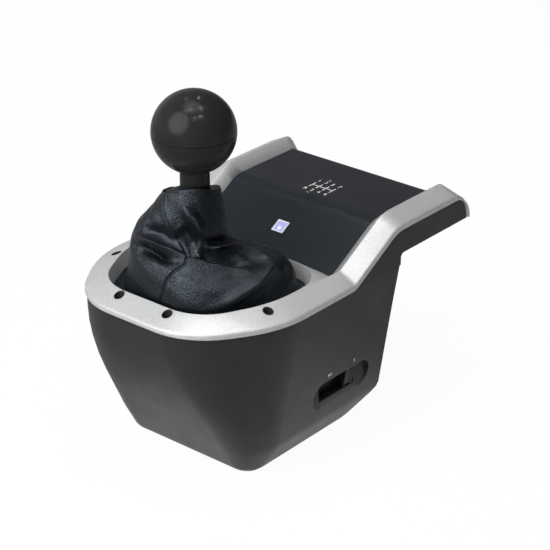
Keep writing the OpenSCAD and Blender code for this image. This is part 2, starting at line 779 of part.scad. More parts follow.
module control_board() {
    board_top = board_z + board_t;
    color([0.1, 0.35, 0.2]) place() {
        difference() {
            slab([-board_half, board_half], board_y, [board_z, board_top]);
            mirror_pair() for (p = board_pegs) post(p, screw_clear, [board_z - over, board_top + over]);
        }
        for (b = board_parts) slab([b[0], b[0] + b[2]], [b[1], b[1] + b[3]], [board_top - eps, board_top + b[4]]);
    }
}

module cable_socket() {
    inner_y = back_y - wall;
    color([0.08, 0.08, 0.08]) place() difference() {
        union() {
            slab(span(socket_at[0], socket_w - 2 * seam_gap), [back_y - socket_l, back_y],
                 span(socket_at[1], socket_h - 2 * seam_gap));
            slab(span(socket_at[0], socket_w + 2 * socket_lip), [inner_y - socket_lip, inner_y],
                 span(socket_at[1], socket_h + 2 * socket_lip));
        }
        slab(span(socket_at[0], port_w), [back_y - port_l, back_y + over], span(socket_at[1], port_h));
    }
}

// Thumb tab with a concave face, on a stem through the wall
module mode_slider() {
    stem_h = slot_h - 2 * slide_fit;
    color([0.16, 0.16, 0.17]) place() on_wall(tab_y, scoop_z) {
        difference() {
            translate([-scoop_h / 2 + tab_top, -tab_w / 2, -scoop_d + slide_fit])
                cube([tab_h, tab_w, scoop_d - 3 * slide_fit]);
            translate([-scoop_h / 2, 0, grip_out]) rotate([0, 90, 0]) cylinder(r = grip_r, h = tab_h + 2 * over);
        }
        translate([-slot_up - stem_h / 2, -stem_l / 2, -scoop_d - scoop_wall - slide_fit])
            cube([stem_h, stem_l, scoop_wall + 3 * slide_fit]);
    }
}

module slider_carriage() {
    color([0.3, 0.3, 0.3]) place() on_wall(tab_y, scoop_z)
        translate([-slot_up, 0, 0]) block(carriage, -scoop_d - scoop_wall - slide_fit - carriage[2]);
}

module mode_switch() {
    seat = -scoop_d - scoop_wall;
    length = slide_travel + switch_size[1];
    color([0.12, 0.12, 0.13]) place() on_wall(tab_y - slide_travel / 2, scoop_z) translate([-slot_up + 0.5, 0, 0]) {
        block([switch_size[0], length, switch_size[2]], seat - leg_h - switch_size[2]);
        for (s = [-1, 1])
            translate([0, s * (length - switch_leg) / 2, 0])
                block([switch_size[0], switch_leg, leg_h + eps], seat - leg_h - eps);
    }
}

// Values on the right, back, left and front, mixed for a direction
function by_side(v, ang) =
    (cos(ang) > 0 ? v[0] : v[2]) * pow(cos(ang), 2) + (sin(ang) > 0 ? v[1] : v[3]) * pow(sin(ang), 2);

// Row of a table at a place between two rows
function row_at(table, t) =
    let (i = min(floor(t), len(table) - 2))
    mix(table[i], table[i + 1], t - i);

// Distance from the lever axis to the narrow end of the opening along a direction of the boot
function throat_reach(d) =
    let (dir = [d[0] * cos(boot_turn) - d[1] * sin(boot_turn), d[0] * sin(boot_turn) + d[1] * cos(boot_turn)])
    min([for (i = [0:len(throat_outline) - 1])
        let (p = throat_outline[i],
             q = throat_outline[(i + 1) % len(throat_outline)],
             n = [q[1] - p[1], p[0] - q[0]])
        if (norm(n) > eps && n * dir > eps) n * p / (n * dir)]);

// Smooth boot without folds, x to the right and y to the back of its broad side, held inside the opening
function boot_base(ang, t) =
    let (share = row_at(boot_share, t),
         reach = row_at(boot_reach, t),
         rise = by_side(row_at(boot_rise, t), ang),
         edge = throat_reach([cos(ang), sin(ang)]) + share[1],
         free = [cos(ang) * (cos(ang) > 0 ? reach[0] : reach[2]), sin(ang) * (sin(ang) > 0 ? reach[1] : reach[3])],
         room = throat_reach(free / norm(free)) + funnel * min(1, 1 - rise / rim_z) - boot_gap,
         full = norm(free) / room,
         own = free / pow(1 + pow(full, 8), 1 / 8),
         p = mix(edge * [cos(ang), sin(ang)], own, share[0]))
    [p[0], p[1], rise];

// Distance from a point to the line between two others
function line_gap(p, a, b) = norm(p - mix(a, b, max(0, min(1, (p - a) * (b - a) / ((b - a) * (b - a))))));

function fold_depth(ang, t) =
    [for (f = boot_folds)
        let (gap = line_gap([ang * fold_turn, t], [f[0] * fold_turn, f[1]], [f[2] * fold_turn, f[3]]))
        f[5] * exp(-pow(gap / f[4], 1.7))] * [for (f = boot_folds) 1];

// Point of the folded boot, drawn in by d along its surface
function boot_point(ang, t, d) =
    let (p = boot_base(ang, t),
         along = boot_base(ang, min(t + 0.05, len(boot_rise) - 1)) - boot_base(ang, max(t - 0.05, 0)),
         round = boot_base(ang + 1, t) - boot_base(ang - 1, t),
         out = cross(round, along) / norm(cross(round, along)))
    p + out * (fold_depth(ang > 180 ? ang - 360 : ang, t) - d);

// Leather boot: a shell folded as it falls, its hem clamped under the frame
module shift_boot() {
    n = len(boot_angles);
    m = len(boot_rows);
    half = m * n;
    top = (m - 1) * n;
    points = [for (d = [0, boot_t]) for (t = boot_rows) for (a = boot_angles) boot_point(a, t, d)];
    outside = [for (j = [0:m - 2]) for (k = [0:n - 1])
        let (a = j * n + k, b = j * n + (k + 1) % n)
        each [[a, a + n, b + n], [a, b + n, b]]];
    inside = [for (f = outside) half * [1, 1, 1] + reversed(f)];
    hem = [for (k = [0:n - 1]) let (b = (k + 1) % n) each [[k, b, half + b], [k, half + b, half + k]]];
    rim = [for (k = [0:n - 1])
        let (a = top + k, b = top + (k + 1) % n)
        each [[b, a, half + a], [b, half + a, half + b]]];
    color([0.08, 0.08, 0.1]) place() rotate([0, 0, boot_turn])
        polyhedron(points, concat(outside, inside, hem, rim), convexity = 8);
}

// Clamping ring under the frame that holds the hem of the boot
module boot_retainer() {
    color([0.12, 0.12, 0.12]) place() difference() {
        prism(grown(mouth_corners, ring_reach[1] - funnel), [ring_z - ring_t, ring_z]);
        prism(grown(mouth_corners, ring_reach[0] - funnel), [ring_z - ring_t - over, ring_z + over]);
        mirror_pair() for (p = ring_screws) post(p, screw_d + 3 * seam_gap, [ring_z - ring_t - over, ring_z + over]);
    }
}

module boot_collar() {
    color([0.1, 0.1, 0.1]) place() difference() {
        post([0, 0], neck_d + 2 * collar_wall, [boot_top - 2 - collar_h, boot_top - 2]);
        post([0, 0], neck_d, [boot_top - 3 - collar_h, boot_top]);
    }
}

// Half space below the knob seam
module below_seam() slab([-ball_d, ball_d], [-ball_d, ball_d], [ball_z + seam_z - ball_d, ball_z + seam_z]);

module knob_upper() {
    seam = ball_z + seam_z;
    color([0.2, 0.2, 0.2]) place() difference() {
        translate([0, 0, ball_z]) sphere(d = ball_d, $fn = 96);
        below_seam();
        difference() {
            post([0, 0], ball_d + over, [seam - over, seam + seam_w]);
            post([0, 0], ball_d - 2 * seam_cut, [seam - 2 * over, seam + over]);
        }
        post([0, 0], cap_d + over, [seam - over, seam + cap_h + 5]);
    }
}

module knob_lower() {
    color([0.2, 0.2, 0.2]) place() difference() {
        union() {
            intersection() {
                translate([0, 0, ball_z]) sphere(d = ball_d, $fn = 96);
                below_seam();
            }
            post([0, 0], neck_d, [neck_low, ball_z - ball_d / 4]);
        }
        post([0, 0], rod_d + over, [neck_low - over, core_z + over]);
        post([0, 0], core_d, [core_z, ball_z + over]);
    }
}

module knob_insert() {
    color([0.75, 0.6, 0.3]) place() difference() {
        union() {
            post([0, 0], core_d, [core_z, ball_z + seam_z]);
            post([0, 0], cap_d, [ball_z + seam_z - eps, ball_z + seam_z + cap_h]);
        }
        post([0, 0], rod_d, [core_z - over, rod_end]);
    }
}

module shift_lever() {
    shank_low = gate_mid + 14;
    color([0.6, 0.6, 0.62]) place() difference() {
        union() {
            post([0, 0], rod_d, [-pivot_z, rod_end]);
            bar_x(hub_d, [-hub_half, hub_half]);
            post([0, 0], shank_d, [shank_low, -pivot_z]);
        }
        bar_x(pin_d, [-hub_half - over, hub_half + over]);
        post([0, 0], finger_d, [shank_low - over, gate_mid + finger_grip]);
    }
}

module gate_finger() {
    color([0.7, 0.7, 0.72]) place() {
        post([0, 0], finger_d, [gate_mid - finger_out, gate_mid + finger_grip]);
        translate([0, 0, gate_mid - finger_out]) sphere(d = finger_d);
    }
}

module pivot_pin() {
    color([0.75, 0.75, 0.77]) place() bar_x(pin_d, [-yoke_half[0] - 2 * clip_t, yoke_half[0] + sensor_t - over]);
}

module pivot_clip() {
    clip_x = -yoke_half[0] - seam_gap;
    color([0.3, 0.3, 0.3]) place() difference() {
        bar_x(clip_d, [clip_x - clip_t, clip_x]);
        bar_x(pin_d, [clip_x - clip_t - over, clip_x + over]);
        slab([clip_x - clip_t - over, clip_x + over], span(0, pin_d / 2), [-pivot_z, -pivot_z + clip_d]);
    }
}

module pivot_spacer() {
    color([0.85, 0.85, 0.8]) place() difference() {
        bar_x(spacer_d, [-yoke_in[0] + slide_fit, -hub_half]);
        bar_x(pin_d, [-yoke_in[0], -hub_half + over]);
    }
}

// Three-notch cam that the detent leaf drops into
module detent_cam() {
    color([0.85, 0.85, 0.8]) place() difference() {
        bar_x(2 * cam_r, [hub_half, hub_half + cam_t]);
        bar_x(pin_d, [hub_half - over, hub_half + cam_t + over]);
        for (a = [-1, 0, 1])
            translate(pivot_at) rotate([a * throw_deg, 0, 0]) translate([hub_half - over, 0, cam_r])
                rotate([45, 0, 0]) slab([0, cam_t + 2 * over], span(0, notch_w), span(0, notch_w));
    }
}

// Leaf spring on the yoke with a pressed-down nose over the middle notch
module detent_leaf() {
    leaf_z = -pivot_z + cam_r + leaf_gap;
    nose = leaf_gap + 0.4;
    strip = [[-3, leaf_z], [-nose, leaf_z], [0, leaf_z - nose], [nose, leaf_z], [yoke_half[1], leaf_z],
             [yoke_half[1], leaf_z + leaf_t], [-3, leaf_z + leaf_t]];
    color([0.65, 0.66, 0.7]) place() translate([hub_half + cam_t / 2, 0, 0]) across(cam_t / 2 - 0.6, strip);
}

module gimbal_yoke() {
    color([0.55, 0.55, 0.57]) place() difference() {
        union() {
            translate(pivot_at) block(2 * yoke_half, -yoke_half[2]);
            bar_y(trunnion_d, [-arm_y - arm_t - 3, arm_y + arm_t + 3]);
            slab([hub_half, hub_half + cam_t], [yoke_in[1] + 1, yoke_half[1]],
                 [-pivot_z, -pivot_z + cam_r + leaf_gap]);
        }
        translate(pivot_at)
            block([2 * yoke_in[0], 2 * yoke_in[1], 2 * yoke_half[2] + 2 * over], -yoke_half[2] - over);
        bar_x(pin_d + 2 * run_fit, [-yoke_half[0] - over, yoke_half[0] + over]);
    }
}

module yoke_bushes() {
    color([0.8, 0.65, 0.35]) place() fore_and_aft() difference() {
        union() {
            bar_y(bush_d, [arm_y, arm_y + arm_t]);
            bar_y(bush_d + 2 * bush_lip, [arm_y - 1, arm_y]);
        }
        bar_y(trunnion_d + 2 * run_fit, [arm_y - 1 - over, arm_y + arm_t + over]);
    }
}

// Torsion spring round the front trunnion, its two legs standing up beside the yoke
module centring_spring() {
    wire = 1.2;
    coil_r = trunnion_d / 2 + 2.2;
    turns = 2;
    steps = 18;
    ring = 6;
    pitch = wire + 0.05;
    start_y = -arm_y + 1.9;
    leg_l = 14;
    tube = [for (j = [0:ring - 1]) [for (i = [0:turns * steps])
        let (a = 360 * i / steps, b = 360 * j / ring, r = coil_r + wire / 2 * cos(b))
        [r * cos(a), start_y + pitch * i / steps + wire / 2 * sin(b), r * sin(a) - pivot_z]]];
    color([0.7, 0.7, 0.72]) place() {
        skin(reversed(tube));
        for (t = [0, turns]) post([coil_r, start_y + pitch * t], wire, [-pivot_z - 0.5, -pivot_z + leg_l]);
    }
}

// Hanging frame of the mechanism: flange, bearing arms fore and aft, side plates down to the gate
module mechanism_chassis() {
    flange = [flange_z, flange_z + flange_t];
    foot_x = chassis_feet[0][0] + foot_rim[0];
    arm_out = arm_y + arm_t;
    gate_seat = gate_mid + gate_t / 2;
    color([0.35, 0.36, 0.38]) place() difference() {
        union() {
            slab([-foot_x, foot_x], [chassis_feet[0][1] - foot_rim[1], chassis_feet[1][1] + foot_rim[0]], flange);
            slab([-window_x, window_x], [-arm_out, arm_out], flange);
            fore_and_aft() {
                slab(span(0, arm_d), [arm_y, arm_out], [-pivot_z, flange[1]]);
                bar_y(arm_d, [arm_y, arm_out]);
            }
            mirror_pair() {
                slab([plate_x, plate_x + plate_t], [-plate_half_y, plate_half_y], [gate_seat, flange[1]]);
                slab([ledge_x, plate_x + plate_t], [-plate_half_y, plate_half_y], [gate_seat, gate_seat + ledge_t]);
            }
        }
        slab([-window_x, window_x], [-arm_y + 1, arm_y - 1], [flange[0] - over, flange[1] + over]);
        fore_and_aft() bar_y(bush_d, [arm_y - over, arm_out + over]);
        mirror_pair() {
            for (p = chassis_feet) post(p, screw_clear, [flange[0] - over, flange[1] + over]);
            for (p = gate_holes) post(p, screw_d, [gate_mid, gate_seat + ledge_t + over]);
            slab([plate_x + 2 * plate_t, foot_x - 9], [-10, 20], [flange[0] - over, flange[1] + over]);
        }
    }
}

module chassis_screws() {
    color([0.3, 0.3, 0.32]) place() mirror_pair()
        for (p = chassis_feet) screw(p, flange_z + flange_t, flange_z - foot_post_h + 4 * blind);
}

// Seven-speed gate: four straight lanes joined by the neutral lane, one at the upright lever
module gate_plate() {
    far_deg = 2 * gate_step;
    lane = finger_d / cos(far_deg) + gate_t * tan(far_deg) + 2 * gate_fit;
    run = gate_reach * tan(throw_deg) / cos(far_deg) + gate_t / 2 * tan(throw_deg) + gate_fit;
    lane_x = [for (n = [-2:1]) -gate_reach * tan(n * gate_step)];
    neutral = finger_d + 2 * gate_fit + 0.2;
    half_x = plate_x + plate_t;
    half_y = plate_half_y + gate_rim;
    color([0.6, 0.6, 0.62]) place() translate([0, 0, gate_mid - gate_t / 2]) difference() {
        slab([-half_x, half_x], [-half_y, half_y], [0, gate_t]);
        for (x = lane_x)
            translate([x, 0, -over]) stadium(2 * run + lane, lane, gate_t + 2 * over);
        slab([min(lane_x), max(lane_x)], span(0, neutral), [-over, gate_t + over]);
        mirror_pair() for (p = gate_holes) post(p, screw_clear, [-over, gate_t + over]);
    }
}

module gate_screws() {
    plate_low = gate_mid - gate_t / 2;
    color([0.3, 0.3, 0.32]) place() mirror_pair() for (p = gate_holes) {
        post(p, head_d, [plate_low - head_h, plate_low]);
        post(p, screw_d, [plate_low - eps, plate_low + gate_t + ledge_t]);
    }
}

// Rotary position sensor, drawn with its shaft bore along +X
module rotary_sensor(shaft_d) {
    difference() {
        translate([0, -sensor_w / 2, -sensor_w / 2]) cube([sensor_t, sensor_w, sensor_w]);
        translate([-over, 0, 0]) rotate([0, 90, 0]) cylinder(d = shaft_d + 2 * run_fit, h = sensor_t + 2 * over);
    }
    translate([0, -plug_size[1] / 2, sensor_w / 2 - eps]) cube(plug_size);
}

module shift_sensor() {
    color([0.1, 0.2, 0.4]) place() translate([yoke_half[0], 0, -pivot_z]) rotary_sensor(pin_d);
}

module gate_sensor() {
    color([0.1, 0.2, 0.4]) place()
        translate([0, arm_y + arm_t, -pivot_z]) rotate([0, 0, 90]) rotary_sensor(trunnion_d);
}

main_housing();
base_cover();
desk_pad();
top_frame();
console_panel();
led_lens();
led_bezel();
led_board();
frame_screws();
base_screws();
clamp_inserts();
control_board();
cable_socket();
mode_slider();
slider_carriage();
mode_switch();
shift_boot();
boot_retainer();
boot_collar();
knob_upper();
knob_lower();
knob_insert();
shift_lever();
gate_finger();
pivot_pin();
pivot_clip();
pivot_spacer();
detent_cam();
detent_leaf();
gimbal_yoke();
yoke_bushes();
centring_spring();
mechanism_chassis();
chassis_screws();
gate_plate();
gate_screws();
shift_sensor();
gate_sensor();
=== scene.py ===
"""Looks of a desk mounted gear shifter: a charcoal body with a satin silver frame, a folded leather
boot, a ball knob, a console with a printed gear pattern and a lit window.

Metres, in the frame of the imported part: +X to the driver's right, +Y away from the driver, Z up.
"""

import json
import math

import bmesh
import bpy
import numpy as np
from mathutils import Matrix, Vector
from mathutils.bvhtree import BVHTree


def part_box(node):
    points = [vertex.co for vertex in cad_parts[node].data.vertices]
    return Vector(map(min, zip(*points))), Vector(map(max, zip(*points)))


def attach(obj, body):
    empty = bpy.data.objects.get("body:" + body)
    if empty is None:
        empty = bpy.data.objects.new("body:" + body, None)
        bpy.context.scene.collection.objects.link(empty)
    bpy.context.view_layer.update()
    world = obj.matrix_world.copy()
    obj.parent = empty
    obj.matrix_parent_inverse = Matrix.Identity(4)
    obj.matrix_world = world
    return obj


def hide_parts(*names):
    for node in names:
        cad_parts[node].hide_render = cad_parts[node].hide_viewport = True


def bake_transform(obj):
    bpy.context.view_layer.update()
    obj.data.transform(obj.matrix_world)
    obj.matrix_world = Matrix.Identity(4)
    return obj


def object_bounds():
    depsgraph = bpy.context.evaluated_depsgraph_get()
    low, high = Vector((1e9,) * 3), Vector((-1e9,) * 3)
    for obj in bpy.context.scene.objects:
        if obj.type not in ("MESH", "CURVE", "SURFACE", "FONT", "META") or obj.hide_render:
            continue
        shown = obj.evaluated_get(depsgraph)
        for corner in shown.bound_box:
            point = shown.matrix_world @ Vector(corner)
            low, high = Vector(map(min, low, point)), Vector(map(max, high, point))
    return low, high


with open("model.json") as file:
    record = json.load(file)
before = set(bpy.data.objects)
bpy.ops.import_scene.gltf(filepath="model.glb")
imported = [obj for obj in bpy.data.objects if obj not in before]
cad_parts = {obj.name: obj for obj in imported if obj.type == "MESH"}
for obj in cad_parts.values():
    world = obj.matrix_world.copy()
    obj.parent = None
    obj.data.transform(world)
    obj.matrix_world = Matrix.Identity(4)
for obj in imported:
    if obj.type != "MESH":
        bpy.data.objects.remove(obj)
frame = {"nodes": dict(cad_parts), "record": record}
CAD_BOX = [list(corner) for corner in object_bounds()]

MM = 0.001
# Lever axis at the height of the frame's ridge, the origin that the boot and the prints are drawn from
AXIS = Vector((0, -59.75, 116)) * MM

# Camera
EYE = Vector((0.698758, -0.823142, 0.620368))
LOOK_AT = Vector((0, 0.01273, 0.0887))
LENS = 126.8
SENSOR = 36.0
CLIP_START, CLIP_END = 0.01, 20
# Directions in plan, as the camera sees them
VIEW_TURN = math.radians(39.9)
RIGHT = Vector((math.cos(VIEW_TURN), math.sin(VIEW_TURN), 0))
NEAR = Vector((math.sin(VIEW_TURN), -math.cos(VIEW_TURN), 0))
UP = Vector((0, 0, 1))


def read(items, field, width=1, kind=float):
    """A field of all the vertices, corners or faces of a mesh, as an array."""
    values = np.empty(len(items) * width, kind)
    items.foreach_get(field, values)
    return values.reshape(-1, width) if width > 1 else values


# Shader helpers

# Middle part of a noise's range, which a finish spreads its values over
NOISE_SPAN = (0.3, 0.7)
# Octaves of a noise, for fine grain, for even fields, for clouds and marks and for patchy gloss
GRAIN_DETAIL, FIELD_DETAIL, CLOUD_DETAIL, GLOSS_DETAIL = 2, 3, 4, 5
NOISE_ROUGHNESS = 0.55
EDGE_SAMPLES = 4
# Wear on edges: cosine of the turn where it starts and where it is full, and the noise that breaks it up
WORN_TURN = (0.995, 0.9)
WORN_SCALE, WORN_SPAN, WORN_PATCHES = 90, (0.4, 0.65), (0.2, 1.0)


def new_material(name):
    made = bpy.data.materials.new(name)
    made.use_nodes = True
    return made, made.node_tree, made.node_tree.nodes["Principled BSDF"]


def add(tree, kind, inputs=(), **settings):
    """A node of that kind; an input is a constant, or the output socket that feeds it."""
    made = tree.nodes.new(kind)
    for key, value in settings.items():
        setattr(made, key, value)
    for key, value in dict(inputs).items():
        if isinstance(value, bpy.types.NodeSocket):
            tree.links.new(value, made.inputs[key])
        else:
            made.inputs[key].default_value = value
    return made


def place_of(tree):
    return add(tree, "ShaderNodeTexCoord").outputs["Object"]


def noise(tree, place, scale, detail=FIELD_DETAIL):
    inputs = {"Vector": place, "Scale": scale, "Detail": detail, "Roughness": NOISE_ROUGHNESS}
    return add(tree, "ShaderNodeTexNoise", inputs).outputs["Fac"]


def stretched(tree, place, factors):
    return add(tree, "ShaderNodeMapping", {"Vector": place, "Scale": factors}).outputs["Vector"]


def remap(tree, value, source, target):
    inputs = {"Value": value, "From Min": source[0], "From Max": source[1],
              "To Min": target[0], "To Max": target[1]}
    return add(tree, "ShaderNodeMapRange", inputs).outputs["Result"]


def spread(tree, value, target):
    """A noise, spread over a range of values."""
    return remap(tree, value, NOISE_SPAN, target)


def measure(tree, operation, first, second):
    """A number from two vectors, such as their distance."""
    return add(tree, "ShaderNodeVectorMath", {0: first, 1: second}, operation=operation).outputs["Value"]


def combine(tree, operation, first, second):
    """A number from two numbers, such as the lesser one."""
    return add(tree, "ShaderNodeMath", {0: first, 1: second}, operation=operation).outputs[0]


def tint(tree, factor, first, second):
    """A mix of two colours; the first may be another node's colour."""
    mix = add(tree, "ShaderNodeMix", {"Factor": factor}, data_type="RGBA")
    under, over = (s for s in mix.inputs if s.type == "RGBA")
    if isinstance(first, bpy.types.NodeSocket):
        tree.links.new(first, under)
    else:
        under.default_value = (*first, 1)
    over.default_value = (*second, 1)
    return next(s for s in mix.outputs if s.type == "RGBA")


def bump(tree, height, strength, distance, normal=None):
    inputs = {"Height": height, "Strength": strength, "Distance": distance}
    if normal is not None:
        inputs["Normal"] = normal
    return add(tree, "ShaderNodeBump", inputs).outputs["Normal"]


def rounded_edges(tree, radius):
    return add(tree, "ShaderNodeBevel", {"Radius": radius}, samples=EDGE_SAMPLES).outputs["Normal"]


def worn_edges(tree, rounded, place):
    """1 on the edges that hands and cloths rub, broken up by a coarse noise."""
    flat = add(tree, "ShaderNodeNewGeometry").outputs["Normal"]
    edge = remap(tree, measure(tree, "DOT_PRODUCT", rounded, flat), WORN_TURN, (0, 1))
    patches = remap(tree, noise(tree, place, WORN_SCALE, CLOUD_DETAIL), WORN_SPAN, WORN_PATCHES)
    return combine(tree, "MULTIPLY", edge, patches)


def join(tree, shader, **sockets):
    """Sets a shader's inputs; underscores stand for spaces."""
    for key, value in sockets.items():
        socket = shader.inputs[key.replace("_", " ")]
        if isinstance(value, bpy.types.NodeSocket):
            tree.links.new(value, socket)
        else:
            socket.default_value = value


# Materials

# Depth in metres of the grain of plastic and paint, and of fine marks on metal, boards and ink
GRAIN_DEPTH, MARK_DEPTH = 0.0002, 0.0001

# Plastic: noise scales of its cloudy tone and its patchy gloss, and how much of the edge tone shows
CLOUD_SCALE, GLOSS_SCALE = 24, 60
WORN_SHARE = 0.35
# Plastics by slot: tones, noise scale and relief of the grain, roughness, tone and radius of worn edges,
# strength of the gloss
PLASTICS = {
    "housing_plastic": dict(name="charcoal_plastic", dark=(0.014, 0.014, 0.0145),
                            light=(0.018, 0.018, 0.0185), grain=2600, rough=(0.36, 0.44), relief=0.2),
    "panel_plastic": dict(name="console_plastic", dark=(0.008, 0.010, 0.014), light=(0.012, 0.014, 0.018),
                          grain=2600, rough=(0.28, 0.34), relief=0.2, specular=0.3),
    "white_plastic": dict(name="white_plastic", dark=(0.72, 0.72, 0.75), light=(0.80, 0.80, 0.82),
                          grain=1500, rough=(0.35, 0.45), relief=0.1, edge=(0.85, 0.85, 0.85), radius=0.0002),
    "black_plastic": dict(name="black_plastic", dark=(0.010, 0.010, 0.011), light=(0.016, 0.016, 0.017),
                          grain=2200, rough=(0.40, 0.52), relief=0.25, edge=(0.05, 0.05, 0.05)),
    "knob_plastic": dict(name="knob_plastic", dark=(0.016, 0.016, 0.0165), light=(0.02, 0.02, 0.0205),
                         grain=3000, rough=(0.14, 0.19), relief=0.12, edge=(0.03, 0.03, 0.03), radius=0.0003,
                         specular=0.12),
    "pad_rubber": dict(name="pad_rubber", dark=(0.012, 0.012, 0.012), light=(0.02, 0.02, 0.02),
                       grain=1400, rough=(0.7, 0.85), relief=0.5, edge=(0.03, 0.03, 0.03))}

# Metal: noise scale of its cloudy gloss, radius of its edges
METAL_CLOUD_SCALE = 50
METAL_EDGE = 0.0003
# Metals by slot: tones, roughness, stretch and noise scale of the tool marks, their relief, share of metal
METALS = {
    "dark_steel": dict(name="black_oxide_steel", dark=(0.012, 0.012, 0.013), light=(0.045, 0.045, 0.048),
                       rough=(0.38, 0.5), scale=900, metallic=0.8),
    "bright_steel": dict(name="ground_steel", dark=(0.42, 0.42, 0.43), light=(0.58, 0.58, 0.59),
                         rough=(0.24, 0.36), direction=(1, 1, 0.03), scale=1500),
    "insert_brass": dict(name="turned_brass", dark=(0.50, 0.34, 0.12), light=(0.68, 0.48, 0.20),
                         rough=(0.25, 0.35), direction=(0.2, 0.2, 1), scale=1200),
    "cast_alloy": dict(name="cast_alloy", dark=(0.33, 0.335, 0.34), light=(0.44, 0.445, 0.45),
                       rough=(0.45, 0.6), scale=700, relief=0.35)}

# Silver paint: tones of its flakes, dark tone painted into the screw bores as shade, share of metal,
# roughness, radius of its edges
FLAKE_TONES = (0.44, 0.45, 0.45), (0.58, 0.59, 0.585)
BORE_SHADE_TONE = (0.03, 0.03, 0.03)
SILVER_METAL = 0.35
SILVER_ROUGH = (0.36, 0.46)
SILVER_EDGE = 0.0007
# Noise scales of the flakes, the cloudy gloss and the fine grain, and relief of the grain
FLAKE_SCALE, SILVER_CLOUD_SCALE, SILVER_GRAIN, SILVER_RELIEF = 2600.0, 30, 2400, 0.12
# Painted shade in the bores of the frame's screws: radius within which it is full and radius where it ends
# and the silver paint is whole
BORE_SHADE_R, BORE_SHADE_END_R = 0.0032, 0.0034
# A length between the width of a screw and the way to the next one, and one beyond all of them
SCREW_APART, FAR_AWAY = 0.012, 1.0

# Lit window: tones, roughness and noise scale of its field, strength of its light away from and in the spot
WINDOW_TONES = (0.26, 0.30, 0.62), (0.40, 0.40, 0.72)
WINDOW_ROUGH, WINDOW_SCALE = (0.15, 0.25), 700
WINDOW_LIGHT = (0.35, 1.0)
# Its bright spot: place from the middle of the window, tone, radius that is full and radius where it ends
SPOT_OFFSET = Vector((0, -0.0012, -0.0006))
SPOT_TONE = (1.0, 1.0, 1.0)
SPOT_FADE = (0.0006, 0.0022)

# Leather: tones of the valleys and the crowns, roughness and its noise scale, strength and tint of the gloss
LEATHER_TONES = (0.001, 0.0012, 0.002), (0.006, 0.0076, 0.0105)
LEATHER_ROUGH, LEATHER_SCALE = (0.28, 0.35), 45
LEATHER_GLOSS, LEATHER_GLOSS_TINT = 0.52, (0.74, 0.87, 1.0, 1.0)
# Pebbles: scale of the cells, scale and reach of the swirl that bends them, distance from a cell's edge where
# the crown is full, relief and its depth; scale and relief of the pores
PEBBLE_SCALE, SWIRL_SCALE, SWIRL_REACH = 760.0, 160.0, 0.0016
PEBBLE_CROWN, PEBBLE_RELIEF, PEBBLE_DEPTH = 0.32, 0.4, 0.0004
PORE_SCALE, PORE_RELIEF = 3200, 0.18

# Circuit board: scale and width of the tracks, share of the light tone beside and on them, tones,
# roughness and its noise scale, relief of the tracks
TRACK_SCALE, TRACK_W, TRACK_MASK = 260.0, 0.03, (0.25, 1)
BOARD_TONES = (0.01, 0.10, 0.04), (0.02, 0.16, 0.07)
BOARD_ROUGH, BOARD_SCALE, BOARD_RELIEF = (0.25, 0.4), 200, 0.1

# Printed ink: tones, roughness, noise scale and relief
INK_TONES = (0.72, 0.72, 0.72), (0.82, 0.82, 0.82)
INK_ROUGH, INK_SCALE, INK_RELIEF = (0.45, 0.6), 900, 0.1


def moulded(name, dark, light, grain, rough, relief, edge=(0.09, 0.09, 0.09), radius=0.0006, specular=0.5):
    """Moulded plastic with a spark eroded grain, a cloudy tone and paler edges."""
    made, tree, shader = new_material(name)
    place = place_of(tree)
    cloud = noise(tree, place, CLOUD_SCALE, CLOUD_DETAIL)
    base = tint(tree, spread(tree, cloud, (0, 1)), dark, light)
    rounded = rounded_edges(tree, radius)
    wear = combine(tree, "MULTIPLY", worn_edges(tree, rounded, place), WORN_SHARE)
    join(tree, shader,
         Base_Color=tint(tree, wear, base, edge),
         Roughness=spread(tree, noise(tree, place, GLOSS_SCALE, GLOSS_DETAIL), rough),
         Specular_IOR_Level=specular,
         Normal=bump(tree, noise(tree, place, grain, GRAIN_DETAIL), relief, GRAIN_DEPTH, rounded))
    return made


def metal(name, dark, light, rough, direction=(1, 1, 1), scale=400, relief=0.1, metallic=1.0):
    """Metal whose tool marks run along the axis with the smallest factor."""
    made, tree, shader = new_material(name)
    place = place_of(tree)
    marks = noise(tree, stretched(tree, place, direction), scale, CLOUD_DETAIL)
    rounded = rounded_edges(tree, METAL_EDGE)
    join(tree, shader,
         Base_Color=tint(tree, marks, dark, light),
         Metallic=metallic,
         Roughness=spread(tree, noise(tree, place, METAL_CLOUD_SCALE, CLOUD_DETAIL), rough),
         Normal=bump(tree, marks, relief, MARK_DEPTH, rounded))
    return made


def screw_axes(node):
    """Places in plan of the screws in one node."""
    points = read(frame["nodes"][node].data.vertices, "co", 3)[:, :2]
    axes = []
    while len(points):
        own = np.linalg.norm(points - points[0], axis=1) < SCREW_APART
        axes.append((points[own].min(0) + points[own].max(0)) / 2)
        points = points[~own]
    return axes


def bores(tree, place, axes):
    """1 inside the upright bores at places in plan, where shade is painted, 0 outside."""
    plan = stretched(tree, place, (1, 1, 0))
    nearest = FAR_AWAY
    for x, y in axes:
        nearest = combine(tree, "MINIMUM", measure(tree, "DISTANCE", plan, (x, y, 0)), nearest)
    return remap(tree, nearest, (BORE_SHADE_R, BORE_SHADE_END_R), (1, 0))


